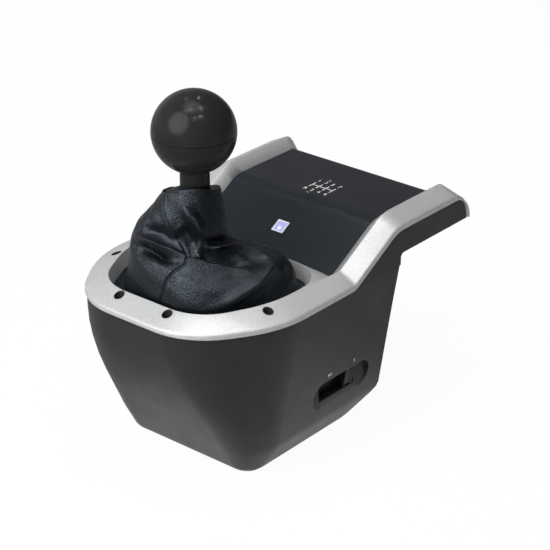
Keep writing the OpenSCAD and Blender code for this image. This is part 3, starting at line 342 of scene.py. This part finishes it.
def satin_silver():
    """Silver paint with fine metal flakes; painted shade makes the screw bores dark and not metallic."""
    made, tree, shader = new_material("satin_silver")
    place = place_of(tree)
    # Mask of the shade painted dark into the screw bores
    bore_shade = bores(tree, place, screw_axes("frame_screws"))
    flakes = add(tree, "ShaderNodeTexVoronoi", {"Vector": place, "Scale": FLAKE_SCALE}).outputs["Color"]
    sparkle = add(tree, "ShaderNodeSeparateColor", {"Color": flakes}).outputs[0]
    grain = noise(tree, place, SILVER_GRAIN, GRAIN_DETAIL)
    join(tree, shader,
         # Shade is painted into the screw bores as a dark tone, with no metal there
         Base_Color=tint(tree, bore_shade, tint(tree, sparkle, *FLAKE_TONES), BORE_SHADE_TONE),
         Metallic=remap(tree, bore_shade, (0, 1), (SILVER_METAL, 0)),
         Roughness=spread(tree, noise(tree, place, SILVER_CLOUD_SCALE, CLOUD_DETAIL), SILVER_ROUGH),
         Normal=bump(tree, grain, SILVER_RELIEF, GRAIN_DEPTH, rounded_edges(tree, SILVER_EDGE)))
    return made


def lit_window():
    """Pale window over a lamp: a bright spot that fades into lavender."""
    made, tree, shader = new_material("lit_window")
    place = place_of(tree)
    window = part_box("led_lens")
    lamp = (window[0] + window[1]) / 2 + SPOT_OFFSET
    spot = remap(tree, measure(tree, "DISTANCE", place, tuple(lamp)), SPOT_FADE, (1, 0))
    cloud = noise(tree, place, WINDOW_SCALE)
    field = tint(tree, cloud, *WINDOW_TONES)
    join(tree, shader,
         Base_Color=field,
         Roughness=spread(tree, cloud, WINDOW_ROUGH),
         Emission_Color=tint(tree, spot, field, SPOT_TONE),
         Emission_Strength=remap(tree, spot, (0, 1), WINDOW_LIGHT))
    return made


def leather():
    """Black leather: pebbled grain with pores, paler on the crowns."""
    made, tree, shader = new_material("boot_leather")
    place = add(tree, "ShaderNodeAttribute", attribute_name="grain_place").outputs["Vector"]
    swirl = add(tree, "ShaderNodeTexNoise", {"Vector": place, "Scale": SWIRL_SCALE}).outputs["Color"]
    bent = add(tree, "ShaderNodeVectorMath", {0: swirl, 1: (SWIRL_REACH,) * 3, 2: place},
               operation="MULTIPLY_ADD").outputs[0]
    cells = add(tree, "ShaderNodeTexVoronoi", {"Vector": bent, "Scale": PEBBLE_SCALE},
                feature="DISTANCE_TO_EDGE").outputs["Distance"]
    pebble = remap(tree, cells, (0, PEBBLE_CROWN), (0, 1))
    pebbled = bump(tree, pebble, PEBBLE_RELIEF, PEBBLE_DEPTH)
    pores = noise(tree, place, PORE_SCALE, GRAIN_DETAIL)
    join(tree, shader,
         Base_Color=tint(tree, pebble, *LEATHER_TONES),
         Roughness=spread(tree, noise(tree, place, LEATHER_SCALE, CLOUD_DETAIL), LEATHER_ROUGH),
         Specular_IOR_Level=LEATHER_GLOSS,
         Specular_Tint=LEATHER_GLOSS_TINT,
         Normal=bump(tree, pores, PORE_RELIEF, GRAIN_DEPTH, pebbled))
    return made


def circuit_board():
    """Green solder mask with faint tracks."""
    made, tree, shader = new_material("circuit_board")
    place = place_of(tree)
    tracks = add(tree, "ShaderNodeTexBrick", {"Vector": place, "Scale": TRACK_SCALE, "Mortar Size": TRACK_W})
    mask = remap(tree, tracks.outputs["Fac"], (0, 1), TRACK_MASK)
    join(tree, shader,
         Base_Color=tint(tree, mask, *BOARD_TONES),
         Roughness=spread(tree, noise(tree, place, BOARD_SCALE), BOARD_ROUGH),
         Normal=bump(tree, mask, BOARD_RELIEF, MARK_DEPTH))
    return made


def print_ink():
    """Printed ink, a little uneven."""
    made, tree, shader = new_material("print_ink")
    cover = noise(tree, place_of(tree), INK_SCALE)
    join(tree, shader,
         Base_Color=tint(tree, cover, *INK_TONES),
         Roughness=spread(tree, cover, INK_ROUGH),
         Normal=bump(tree, cover, INK_RELIEF, MARK_DEPTH))
    return made


def material_by_slot():
    """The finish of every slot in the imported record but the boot's."""
    made = {slot: moulded(**finish) for slot, finish in PLASTICS.items()}
    made.update({slot: metal(**finish) for slot, finish in METALS.items()})
    made.update(silver_frame=satin_silver(), lens_plastic=lit_window(), board=circuit_board())
    return made


# Pieces that come from the solids

# Solids with curved skins made of flat facets, and the turn below which the shading runs on over an edge
SOFT_EDGES = {"main_housing": 30, "top_frame": 60, "console_panel": 30}
# Steps in a metre, or in the length of a normal, that facets are rounded to when equal ones are looked for
PLACE_STEPS, NORMAL_STEPS, HEIGHT_STEPS = 1e6, 300, 2e4


def soften(piece, degrees):
    """Shades smoothly over edges that turn less than an angle; large flat faces keep their direction."""
    mesh = piece.data
    places = np.round(read(mesh.vertices, "co", 3) * PLACE_STEPS).astype(int)
    place = np.unique(places, axis=0, return_inverse=True)[1].ravel()
    place = place[read(mesh.loops, "vertex_index", 1, int)]
    normals, areas = read(mesh.polygons, "normal", 3), read(mesh.polygons, "area")
    height = np.sum(normals * read(mesh.polygons, "center", 3), 1)
    planes = np.round(np.column_stack([normals * NORMAL_STEPS, height * HEIGHT_STEPS])).astype(int)
    plane = np.unique(planes, axis=0, return_inverse=True)[1].ravel()
    weights = np.bincount(plane, areas)[plane]
    face = np.repeat(np.arange(len(mesh.polygons)), read(mesh.polygons, "loop_total", 1, int))
    order = np.argsort(place, kind="stable")
    shading = np.empty((len(mesh.loops), 3))
    for corners in np.split(order, np.flatnonzero(np.diff(place[order])) + 1):
        around = normals[face[corners]]
        near = around @ around.T > math.cos(math.radians(degrees))
        shading[corners] = (near * weights[face[corners]]) @ around
    shading /= np.linalg.norm(shading, axis=1, keepdims=True)
    mesh.polygons.foreach_set("use_smooth", [True] * len(mesh.polygons))
    mesh.normals_split_custom_set(shading)


def dress_solids(finishes):
    """Gives every solid the finish of its slot; the boot's solid, which the leather stands for, has none."""
    for part in frame["record"]["subparts"]:
        piece = frame["nodes"][part["node"]]
        finish = finishes.get(part["material_slot"])
        if finish is None:
            continue
        piece.data.materials.clear()
        piece.data.materials.append(finish)
        if part["node"] in SOFT_EDGES:
            soften(piece, SOFT_EDGES[part["node"]])


# Boot

# Narrow end of the opening in the frame: corner x, y and radius on the right half, mm from the lever axis,
# how much wider it is at the ridge, its depth below the ridge, steps of a corner's arc, gap to the skirt
THROAT = [(36.24, -40.3, 29.5), (56.5, 0.88, 72.5), (56.5, 49.1, 22.5)]
FUNNEL = 2.5
THROAT_Z = -9.35
THROAT_ARC_STEPS = 12
SKIRT_GAP = 1.5
# How sharply the opening holds the boot in
HOLD_POWER = 8
TINY = 1e-6
# Rows from the hem up: share of the way from the opening to the row's own outline, offset from the opening,
# reach to the right, back, left and front of the broad side, and height there, mm
BOOT_ROWS = np.array([
    (0.00, 1.2, 60.0, 40.0, 44.0, 50.0, -9.4, -9.4, -9.4, -9.4),
    (0.00, -0.6, 60.0, 40.0, 44.0, 50.0, -9.4, -9.4, -9.4, -9.4),
    (0.80, -0.6, 63.0, 40.0, 44.0, 52.0, -7.5, -8.5, -8.6, -5.5),
    (0.95, -0.6, 62.0, 39.0, 43.2, 49.5, 0.5, -3.0, -4.0, 3.0),
    (1.00, 0.0, 58.0, 37.0, 42.2, 45.5, 6.5, 2.5, 4.0, 10.0),
    (1.00, 0.0, 52.0, 34.0, 41.0, 40.0, 10.5, 8.0, 13.0, 16.5),
    (1.00, 0.0, 43.0, 30.0, 39.8, 34.0, 13.0, 12.5, 20.0, 21.0),
    (1.00, 0.0, 32.0, 25.5, 38.0, 28.5, 16.5, 17.0, 27.0, 24.5),
    (1.00, 0.0, 22.5, 21.5, 35.4, 23.5, 20.5, 21.5, 33.0, 27.0),
    (1.00, 0.0, 18.6, 18.5, 31.6, 21.0, 28.0, 28.5, 38.5, 32.5),
    (1.00, 0.0, 17.6, 16.5, 27.2, 19.0, 37.5, 36.5, 43.0, 39.5),
    (1.00, 0.0, 16.6, 15.0, 23.8, 16.0, 46.0, 43.0, 47.2, 47.0),
    (1.00, 0.0, 15.4, 14.2, 21.0, 13.0, 53.0, 48.0, 51.0, 55.0),
    (1.00, 0.0, 14.8, 13.6, 19.2, 11.5, 56.0, 51.0, 53.4, 59.5)])
# Folds and ridges: path of (angle, row), half width in rows, depth in mm, share of the path that tapers
BOOT_FOLDS = [
    ([(-160, 8.3), (-148, 8.6), (-129, 8.9), (-113, 8.6), (-100, 8.1)], 0.66, -3.8, 0.35),
    ([(-160, 7.5), (-149, 7.7), (-130, 7.9), (-113, 7.58), (-102, 7.36), (-93, 7.3)], 0.36, 4.0, 0.3),
    ([(-158, 6.6), (-145, 6.8), (-130, 6.92), (-116, 6.7), (-106, 6.65)], 0.56, -6.4, 0.35),
    ([(-100, 7.6), (-94, 7.7), (-88, 7.6)], 0.32, -2.6, 0.3),
    ([(-112, 11.8), (-100, 11.1), (-87, 10.4), (-76, 9.6), (-71, 9.1), (-68, 8.8)], 0.55, 3.8, 0.35),
    ([(-110, 10.0), (-98, 9.2), (-90, 8.6), (-86, 8.0)], 0.75, -5.0, 0.35),
    ([(-74, 8.75), (-64, 8.75), (-45, 8.75), (-20, 8.6), (0, 8.4)], 0.34, -3.8, 0.25),
    ([(-66, 8.25), (-36, 8.2), (-20, 7.9), (-13, 7.1), (-12, 6.3), (-16, 5.6)], 0.36, 4.4, 0.2),
    ([(-86, 7.6), (-73, 7.6), (-49, 7.15), (-27, 6.5)], 0.62, -6.8, 0.3),
    ([(-12, 6.0), (-25, 5.25), (-35, 4.85), (-47, 4.2), (-60, 3.6), (-70, 3.05), (-80, 2.5)],
     0.42, 3.4, 0.25),
    ([(-96, 5.6), (-70, 5.4), (-45, 5.4)], 1.00, -2.8, 0.4),
    ([(10, 5.0), (-20, 3.9), (-45, 2.7)], 0.90, -3.8, 0.3)]
# Seams between the four leather panels: path of (angle, row)
BOOT_SEAMS = [
    [(-125, 1.5), (-122, 3.1), (-115, 4.6), (-107, 5.55), (-98.5, 6.4), (-95, 7.4), (-101, 8.3),
     (-105, 8.6), (-122.5, 9.9), (-140, 11), (-152.5, 12.5), (-156, 13)],
    [(16, 1.5), (20, 6), (18, 9), (12, 13)],
    [(65, 1.5), (66, 6), (60, 9), (55, 13)],
    [(150, 1.5), (148, 6), (146, 9), (140, 13)]]
# Rows for each degree round the boot, and mm for each row
TURN_ROWS = 0.08
ROW_MM = 6.0
# Rows where the folds start and where they are full, share of a fold's depth at its ends, power of its flanks
FOLD_ROWS = (1.5, 3.0)
FOLD_END, FOLD_POWER = 0.25, 1.8
# Seams: height and half width of the swell beside the stitches, depth and half width of the groove, mm
SWELL_H, SWELL_W = 0.45, 2.2
GROOVE_D, GROOVE_W = 1.25, 0.55
# Slack wrinkles: height in mm, waves for each radian and row, rows where they start and where they are full
WRINKLE_H = 0.25
WRINKLE_WAVES = [(7, 1.9), (3, 2.3)]
WRINKLE_ROWS = (2, 4)


def corner_arc(before, corner, after, radius, steps):
    """Points of the arc that rounds a corner between its neighbours."""
    a = (before - corner) / np.linalg.norm(before - corner)
    b = (after - corner) / np.linalg.norm(after - corner)
    half = math.acos(a @ b) / 2
    start = corner + a * radius / math.tan(half)
    middle = corner + (a + b) / np.linalg.norm(a + b) * radius / math.sin(half)
    first = math.atan2(*(start - middle)[::-1])
    sweep = math.copysign(math.pi - 2 * half, b[0] * a[1] - b[1] * a[0])
    turns = first + sweep * np.arange(steps + 1) / steps
    return middle + radius * np.stack([np.cos(turns), np.sin(turns)], 1)


def throat_outline():
    """Points round the narrow end of the opening."""
    corners = THROAT + [(-x, y, r) for x, y, r in reversed(THROAT)]
    at = np.array([c[:2] for c in corners], float)
    arcs = [corner_arc(at[i - 1], at[i], at[(i + 1) % len(at)], corners[i][2], THROAT_ARC_STEPS)
            for i in range(len(at))]
    return np.concatenate(arcs)


def throat_reach(directions):
    """Distance from the lever axis to the opening along directions of the boot, which faces the view."""
    c, s = math.cos(VIEW_TURN), math.sin(VIEW_TURN)
    turned = np.stack([directions[..., 0] * c - directions[..., 1] * s,
                       directions[..., 0] * s + directions[..., 1] * c], -1)
    outline = throat_outline()
    ahead = np.roll(outline, -1, 0)
    reach = np.full(directions.shape[:-1], np.inf)
    for p, q in zip(outline, ahead):
        normal = np.array([q[1] - p[1], p[0] - q[0]])
        facing = turned @ normal
        met = np.where(facing > TINY, (normal @ p) / np.maximum(facing, TINY), np.inf)
        if np.linalg.norm(normal) > TINY:
            reach = np.minimum(reach, met)
    return reach


def rows_at(t):
    """Rows of the boot's table between its own, on a smooth curve through them."""
    last = len(BOOT_ROWS) - 1
    i = np.clip(np.floor(t).astype(int), 0, last - 1)
    u = (t - i)[:, None]
    p0, p1, p2, p3 = (BOOT_ROWS[np.clip(i + k, 0, last)] for k in (-1, 0, 1, 2))
    return p1 + 0.5 * u * (p2 - p0 + u * (2 * p0 - 5 * p1 + 4 * p2 - p3 + u * (3 * (p1 - p2) + p3 - p0)))


def smooth_boot(t, degrees):
    """The boot without folds at rows t and angles, x to the right and y to the back of its broad side."""
    share, offset, right, back, left, front, *heights = np.moveaxis(rows_at(t)[:, None, :], -1, 0)
    right_z, back_z, left_z, front_z = heights
    c, s = np.cos(np.radians(degrees))[None], np.sin(np.radians(degrees))[None]
    free = np.stack([c * np.where(c > 0, right, left), s * np.where(s > 0, back, front)], -1)
    height = np.where(c > 0, right_z, left_z) * c ** 2 + np.where(s > 0, back_z, front_z) * s ** 2
    length = np.linalg.norm(free, axis=-1, keepdims=True)
    room = throat_reach(free / length) + FUNNEL * np.minimum(1, 1 - height / THROAT_Z) - SKIRT_GAP
    own = free / (1 + (length / room[..., None]) ** HOLD_POWER) ** (1 / HOLD_POWER)
    way = np.stack([c, s], -1)
    edge = (throat_reach(way) + offset)[..., None] * way
    flat = edge * (1 - share[..., None]) + own * share[..., None]
    return np.concatenate([flat, height[..., None]], -1)


def path_gap(t, degrees, path):
    """Distance in rows from each point of the grid to a path, and how far along the path it is nearest."""
    x = degrees[None, :] * TURN_ROWS + 0 * t[:, None]
    y = t[:, None] + 0 * degrees[None, :]
    points = np.array([(a * TURN_ROWS, r) for a, r in path])
    lengths = np.linalg.norm(np.diff(points, axis=0), axis=1)
    best, share, done = np.full(x.shape, np.inf), np.zeros(x.shape), 0.0
    for p, q, length in zip(points, points[1:], lengths):
        k = np.clip(((x - p[0]) * (q - p)[0] + (y - p[1]) * (q - p)[1]) / length ** 2, 0, 1)
        gap = np.hypot(x - p[0] - k * (q - p)[0], y - p[1] - k * (q - p)[1])
        nearer = gap < best
        best = np.where(nearer, gap, best)
        share = np.where(nearer, (done + k * length) / lengths.sum(), share)
        done += length
    return best, share


def smoothstep(x, low, high):
    """0 up to a low value and 1 from a high one, with a smooth rise between them."""
    x = np.clip((x - low) / (high - low), 0, 1)
    return x * x * (3 - 2 * x)


def fold_relief(t, degrees):
    """How far the folds, the seams and slack wrinkles stand out of the smooth boot, mm."""
    relief = np.zeros((len(t), len(degrees)))
    for path, width, depth, taper in BOOT_FOLDS:
        gap, share = path_gap(t, degrees, path)
        fade = smoothstep(share, 0, taper) * smoothstep(1 - share, 0, taper)
        relief += depth * (FOLD_END + (1 - FOLD_END) * fade) * np.exp(-(gap / width) ** FOLD_POWER)
    for path in BOOT_SEAMS:
        mm = path_gap(t, degrees, path)[0] * ROW_MM
        relief += SWELL_H * np.exp(-(mm / SWELL_W) ** 2) - GROOVE_D * np.exp(-(mm / GROOVE_W) ** 2)
    angle, row = np.radians(degrees)[None, :], t[:, None]
    first, second = (np.sin(turns * angle + rows * row) for turns, rows in WRINKLE_WAVES)
    relief += WRINKLE_H * first * second * smoothstep(row, *WRINKLE_ROWS)
    return relief


# Angles and rows of the boot's grid, closer together on the side that the folds are on
FOLDED_SIDE = (-165, 5)
FOLDED_STEPS, PLAIN_STEPS, ROW_STEPS = 240, 120, 210
# Top edge, which rolls over and closes on the neck: radius of the roll, radius and height of the crown over
# the collar and of the inner edge, mm, and steps
ROLL_R = 0.7
CROWN_R, CROWN_Z = 10.4, 56.0
INNER_R, INNER_Z = 9.1, 55.3
ROLL_STEPS, LID_STEPS = 6, 8


def boot_grid():
    """Points of the folded boot, row by row from the hem to the neck, mm from the lever axis."""
    start, end = FOLDED_SIDE
    degrees = np.concatenate([np.linspace(start, end, FOLDED_STEPS, endpoint=False),
                              np.linspace(end, start + 360, PLAIN_STEPS, endpoint=False)])
    wrapped = (degrees + 180) % 360 - 180
    t = np.linspace(0, len(BOOT_ROWS) - 1, ROW_STEPS)
    grid = smooth_boot(t, wrapped)
    along = np.gradient(grid, axis=0)
    around = np.roll(grid, -1, 1) - np.roll(grid, 1, 1)
    out = np.cross(around, along)
    out /= np.linalg.norm(out, axis=-1, keepdims=True)
    clear = smoothstep(t, *FOLD_ROWS)[:, None, None]
    grid = grid + out * clear * fold_relief(t, wrapped)[..., None]
    return np.concatenate([grid, turned_in(grid[-1])])


def turned_in(edge):
    """Rows that roll the top edge over and lead it in to the neck."""
    inward = -edge * [1, 1, 0]
    inward /= np.linalg.norm(inward, axis=-1, keepdims=True)
    up = np.array([0, 0, 1.0])
    turns = [math.pi * k / ROLL_STEPS for k in range(1, ROLL_STEPS + 1)]
    roll = [edge + ROLL_R * ((1 - math.cos(a)) * inward + math.sin(a) * up) for a in turns]
    crown, inner = (-r * inward + z * up for r, z in ((CROWN_R, CROWN_Z), (INNER_R, INNER_Z)))
    shares = [(k + 1) / LID_STEPS for k in range(LID_STEPS)]
    lid = [(1 - s) ** 2 * roll[-1] + 2 * s * (1 - s) * crown + s ** 2 * inner for s in shares]
    return np.array(roll + lid)


def boot_mesh():
    """The whole boot as a bmesh in the part's frame."""
    grid = boot_grid()
    turn = Matrix.Rotation(VIEW_TURN, 4, "Z")
    made = bmesh.new()
    rows = [[made.verts.new(AXIS + turn @ (Vector(p) * MM)) for p in row] for row in grid]
    for low, high in zip(rows, rows[1:]):
        for k in range(len(low)):
            n = (k + 1) % len(low)
            made.faces.new((low[k], low[n], high[n], high[k])).smooth = True
    return made


# Heights from the ridge of the boot's hem, of the parting of its halves and of where it is wholly round the
# lever, mm;
# its halves part at the middle one
HEM_Z, SPLIT_Z, FULL_LEVER_Z = -9.4, 16.0, 48.0
# Distance within which a point counts as on the plane that parts the halves, metres
ON_PLANE = 1e-7


def boot_half(name, whole, keep, finish):
    """The faces of the boot on one side of the split, with the normals of the whole."""
    faces = [f for f in whole.faces if keep(f.calc_center_median().z)]
    verts = sorted({v for f in faces for v in f.verts}, key=lambda v: v.index)
    index = {v: i for i, v in enumerate(verts)}
    mesh = bpy.data.meshes.new(name)
    mesh.from_pydata([v.co for v in verts], [], [[index[v] for v in f.verts] for f in faces])
    mesh.polygons.foreach_set("use_smooth", [True] * len(mesh.polygons))
    mesh.normals_split_custom_set_from_vertices([v.normal for v in verts])
    rest = mesh.attributes.new("grain_place", "FLOAT_VECTOR", "POINT")
    rest.data.foreach_set("vector", np.array([v.co for v in verts], np.float32).ravel())
    mesh.materials.append(finish)
    piece = bpy.data.objects.new(name, mesh)
    bpy.context.scene.collection.objects.link(piece)
    return piece


def add_boot(finish):
    """The boot in two halves that part at one height: a skirt on the frame and a gaiter round the lever."""
    whole = boot_mesh()
    level = AXIS.z + SPLIT_Z * MM
    bmesh.ops.bisect_plane(whole, geom=whole.verts[:] + whole.edges[:] + whole.faces[:], dist=ON_PLANE,
                           plane_co=(0, 0, level), plane_no=UP)
    whole.verts.index_update()
    whole.normal_update()
    lower = boot_half("boot_skirt", whole, lambda z: z < level, finish)
    upper = boot_half("boot_gaiter", whole, lambda z: z >= level, finish)
    whole.free()

    def at(z):
        return AXIS.x, AXIS.y, AXIS.z + z * MM

    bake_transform(lower)
    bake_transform(upper)
    for piece in (lower, upper):
        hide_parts("shift_boot")


# Prints

# Thickness of the ink, metres
INK_T = 0.00006
# Height of a capital as a share of the size of its font
CAPITAL = 0.7
# A surface counts as level when its normal rises more than this
LEVEL_RISE = 0.7
# Where the lines start that find a surface: above the ridge and to the right of the lever axis, mm
CAST_ABOVE, CAST_BESIDE = 80, 120
# Gear pattern on the console: centre from the lever axis, spacing of the bars, their length and width, mm
PATTERN_AT = (0.65, 118.5)
LANE, BAR_L, BAR_W = 5.37, 7.2, 0.62
# Its marks, left to right: distance from the middle and height, mm
FAR_MARKS, NEAR_MARKS = "1357", "R246"
MARK_OFFSET, MARK_H = 7.2, 3.0
# Its plus and minus signs: lane that they stand in, distance from the middle, length and width of strokes, mm
SIGN_LANE = 1
SIGN_OFFSET, SIGN_L, SIGN_W = 11.4, 1.5, 0.4
# Signs beside the switch: distance along the wall from the lever axis and height from the ridge, mm
SWITCH_SIGNS = {"gate": (47.7, -65.2), "up_down": (71.4, -65.0)}
# Spacing, length and width of the small gate's bars; offset, width and height of a wedge, mm
GATE_STEP, GATE_L, GATE_W = 1.5, 2.2, 0.45
WEDGE_OFFSET, WEDGE_W, WEDGE_H = 0.9, 1.5, 1.1


def surface_frame(node, start, direction):
    """A frame where a line meets a node: Z out of it, Y up it or, on a level face, away from the driver."""
    mesh = frame["nodes"][node].data
    tree = BVHTree.FromPolygons([v.co for v in mesh.vertices], [p.vertices for p in mesh.polygons])
    at, normal, _, _ = tree.ray_cast(start, direction)
    out = normal if normal.dot(direction) < 0 else -normal
    rough_up = Vector((0, 1, 0)) if abs(out.z) > LEVEL_RISE else UP
    x = rough_up.cross(out).normalized()
    y = out.cross(x)
    return Matrix.Translation(at) @ Matrix((x, y, out)).transposed().to_4x4()


def bar(made, centre, size):
    """A flat bar of ink, mm."""
    at = Matrix.Translation((centre[0] * MM, centre[1] * MM, INK_T / 2))
    bmesh.ops.create_cube(made, size=1, matrix=at @ Matrix.Diagonal((size[0] * MM, size[1] * MM, INK_T, 1)))


def wedge(made, centre, width, height):
    """A flat triangle of ink that points along its height, mm."""
    corners = [(-width / 2, -height / 2), (width / 2, -height / 2), (0, height / 2)]
    low = [made.verts.new(((centre[0] + x) * MM, (centre[1] + y) * MM, 0)) for x, y in corners]
    high = [made.verts.new(v.co + Vector((0, 0, INK_T))) for v in low]
    made.faces.new(high if height > 0 else high[::-1])
    made.faces.new(low[::-1] if height > 0 else low)
    for i in range(3):
        j = (i + 1) % 3
        side = (low[i], low[j], high[j], high[i])
        made.faces.new(side if height > 0 else side[::-1])


def letter(made, text, centre, height):
    """One character of ink, mm."""
    font = bpy.data.curves.new("character", "FONT")
    font.body = text
    font.size = height * MM / CAPITAL
    font.align_x, font.align_y = "CENTER", "CENTER"
    font.extrude = INK_T / 2
    shown = bpy.data.objects.new("character", font)
    mesh = bpy.data.meshes.new_from_object(shown)
    mesh.transform(Matrix.Translation((centre[0] * MM, centre[1] * MM, INK_T / 2)))
    made.from_mesh(mesh)
    bpy.data.meshes.remove(mesh)
    bpy.data.objects.remove(shown)
    bpy.data.curves.remove(font)


def printed(name, made, at, finish):
    """A print on the body, from ink that is drawn flat and a frame on the surface."""
    mesh = bpy.data.meshes.new(name)
    made.to_mesh(mesh)
    made.free()
    mesh.transform(at)
    mesh.materials.append(finish)
    piece = bpy.data.objects.new(name, mesh)
    bpy.context.scene.collection.objects.link(piece)
    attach(piece, "body")


def add_gear_pattern(finish):
    """Four lanes on the console with plain gear marks."""
    made = bmesh.new()
    steps = len(FAR_MARKS) - 1
    lanes = [(i - steps / 2) * LANE for i in range(steps + 1)]
    for x, far, near in zip(lanes, FAR_MARKS, NEAR_MARKS):
        bar(made, (x, 0), (BAR_W, BAR_L))
        letter(made, far, (x, MARK_OFFSET), MARK_H)
        letter(made, near, (x, -MARK_OFFSET), MARK_H)
    bar(made, (0, 0), (steps * LANE, BAR_W))
    bar(made, (lanes[SIGN_LANE], SIGN_OFFSET), (SIGN_L, SIGN_W))
    bar(made, (lanes[SIGN_LANE], SIGN_OFFSET), (SIGN_W, SIGN_L))
    bar(made, (lanes[SIGN_LANE], -SIGN_OFFSET), (SIGN_L, SIGN_W))
    above = AXIS + Vector((*PATTERN_AT, CAST_ABOVE)) * MM
    printed("gear_pattern", made, surface_frame("console_panel", above, -UP), finish)


def add_switch_signs(finish):
    """A small gate and an up and down pair beside the ends of the mode switch."""
    inward = Vector((-1, 0, 0))
    gate = bmesh.new()
    for x in (-GATE_STEP, 0, GATE_STEP):
        bar(gate, (x, 0), (GATE_W, GATE_L))
    bar(gate, (0, 0), (2 * GATE_STEP, GATE_W))
    up_down = bmesh.new()
    wedge(up_down, (0, WEDGE_OFFSET), WEDGE_W, WEDGE_H)
    wedge(up_down, (0, -WEDGE_OFFSET), WEDGE_W, -WEDGE_H)
    for name, made in (("gate", gate), ("up_down", up_down)):
        y, z = SWITCH_SIGNS[name]
        beside = AXIS + Vector((CAST_BESIDE, y, z)) * MM
        printed("switch_sign_" + name, made, surface_frame("main_housing", beside, inward), finish)


# Studio

# Floor: size, gap under the object, tones and noise scale of its paper
FLOOR_SIZE, FLOOR_GAP = 6.0, 0.0002
PAPER_TONES, PAPER_SCALE = ((0.86, 0.86, 0.86), (0.9, 0.9, 0.9)), 3
# Share of the floor that shows white; two distances from its middle and how bright it is reflected there
FLOOR_WHITE = 0.96
FLOOR_AWAY, FLOOR_REFLECTED = (0.08, 0.13), (0.85, 0.36)
# Light that the room sheds, and how bright its horizon is reflected to the left and right, and its ceiling
AMBIENT = 0.12
HORIZON_SIDES, HORIZON = (-0.5, 0.5), (0.6, 0.05)
ZENITH = 0.1
# Lamps: direction from the object as right, near and up, distance, width, power
LAMPS = {
    "top_softbox": ((-0.08, 0.06, 0.99), 1.3, 0.8, 5.0),
    "key_softbox": ((-0.6, 0.52, 0.6), 1.4, 1.3, 20.0)}
# Small ceiling lamps: direction of each as right and near, and power; distance and width of all
CEILING = [(-0.25, -0.42, 0.4), (0.10, -0.47, 0.9), (0.24, 0.07, 1.6), (-0.12, 0.15, 1.6),
           (-0.31, 0.21, 0.8), (0.26, 0.45, 1.8), (0.04, 0.55, 1.6)]
CEILING_FAR, CEILING_W = 1.5, 0.06


def choose(tree, factor, first, second):
    """A number that goes from one to another; either is a constant or an output socket."""
    return add(tree, "ShaderNodeMix", {0: factor, 2: first, 3: second}, data_type="FLOAT").outputs[0]


def add_world():
    """White to the eye; to everything else a dim room that is lighter to the left."""
    world = bpy.data.worlds.new("studio")
    bpy.context.scene.world = world
    world.use_nodes = True
    tree = world.node_tree
    background = tree.nodes["Background"]
    background.inputs["Color"].default_value = (1, 1, 1, 1)
    way = add(tree, "ShaderNodeTexCoord").outputs["Generated"]
    height = add(tree, "ShaderNodeSeparateXYZ", {"Vector": way}).outputs["Z"]
    across = measure(tree, "DOT_PRODUCT", way, tuple(RIGHT))
    horizon = remap(tree, across, HORIZON_SIDES, HORIZON)
    room = choose(tree, height, horizon, ZENITH)
    path = add(tree, "ShaderNodeLightPath").outputs
    shed = choose(tree, path["Is Glossy Ray"], AMBIENT, room)
    tree.links.new(choose(tree, path["Is Camera Ray"], shed, 1.0), background.inputs["Strength"])


def add_floor():
    """A pale sheet that shows white, keeps a soft shadow and is reflected most where it is near."""
    half = FLOOR_SIZE / 2
    mesh = bpy.data.meshes.new("floor")
    corners = [(-half, -half, 0), (half, -half, 0), (half, half, 0), (-half, half, 0)]
    mesh.from_pydata(corners, [], [(0, 1, 2, 3)])
    floor = bpy.data.objects.new("floor", mesh)
    floor.location.z = CAD_BOX[0][2] - FLOOR_GAP
    bpy.context.scene.collection.objects.link(floor)
    made, tree, shader = new_material("floor_paper")
    tree.nodes.remove(shader)
    place = place_of(tree)
    away = add(tree, "ShaderNodeVectorMath", {0: place}, operation="LENGTH").outputs["Value"]
    reflected = remap(tree, away, FLOOR_AWAY, FLOOR_REFLECTED)
    path = add(tree, "ShaderNodeLightPath").outputs
    tone = tint(tree, noise(tree, place, PAPER_SCALE), *PAPER_TONES)
    paper = add(tree, "ShaderNodeBsdfDiffuse", {"Color": tone})
    strength = choose(tree, path["Is Camera Ray"], reflected, 1.0)
    white = add(tree, "ShaderNodeEmission", {"Strength": strength})
    shown = combine(tree, "MAXIMUM", path["Is Camera Ray"], path["Is Glossy Ray"])
    share = combine(tree, "MULTIPLY", shown, FLOOR_WHITE)
    mixed = add(tree, "ShaderNodeMixShader", {"Fac": share, 1: paper.outputs[0], 2: white.outputs[0]})
    tree.links.new(mixed.outputs[0], tree.nodes["Material Output"].inputs["Surface"])
    mesh.materials.append(made)


def add_lamp(name, direction, distance, width, power):
    """A round lamp that faces the object from a direction right, near and up."""
    light = bpy.data.lights.new(name, "AREA")
    light.shape = "DISK"
    light.size = width
    light.energy = power
    lamp = bpy.data.objects.new(name, light)
    way = (RIGHT * direction[0] + NEAR * direction[1] + UP * direction[2]).normalized()
    lamp.location = LOOK_AT + way * distance
    lamp.rotation_euler = way.to_track_quat("Z", "Y").to_euler()
    bpy.context.scene.collection.objects.link(lamp)


def add_lamps():
    for name, (direction, distance, width, power) in LAMPS.items():
        add_lamp(name, direction, distance, width, power)
    for i, (across, near, power) in enumerate(CEILING):
        direction = (across, near, math.sqrt(1 - across ** 2 - near ** 2))
        add_lamp(f"ceiling_{i}", direction, CEILING_FAR, CEILING_W, power)


def add_camera():
    data = bpy.data.cameras.new("camera")
    data.lens, data.sensor_width = LENS, SENSOR
    data.clip_start, data.clip_end = CLIP_START, CLIP_END
    camera = bpy.data.objects.new("camera", data)
    camera.location = EYE
    camera.rotation_euler = (EYE - LOOK_AT).to_track_quat("Z", "Y").to_euler()
    bpy.context.scene.collection.objects.link(camera)
    bpy.context.scene.camera = camera


add_camera()
add_world()
add_floor()
add_lamps()
dress_solids(material_by_slot())
add_boot(leather())
white_ink = print_ink()
add_gear_pattern(white_ink)
add_switch_signs(white_ink)
bpy.context.scene.view_settings.view_transform = "Standard"
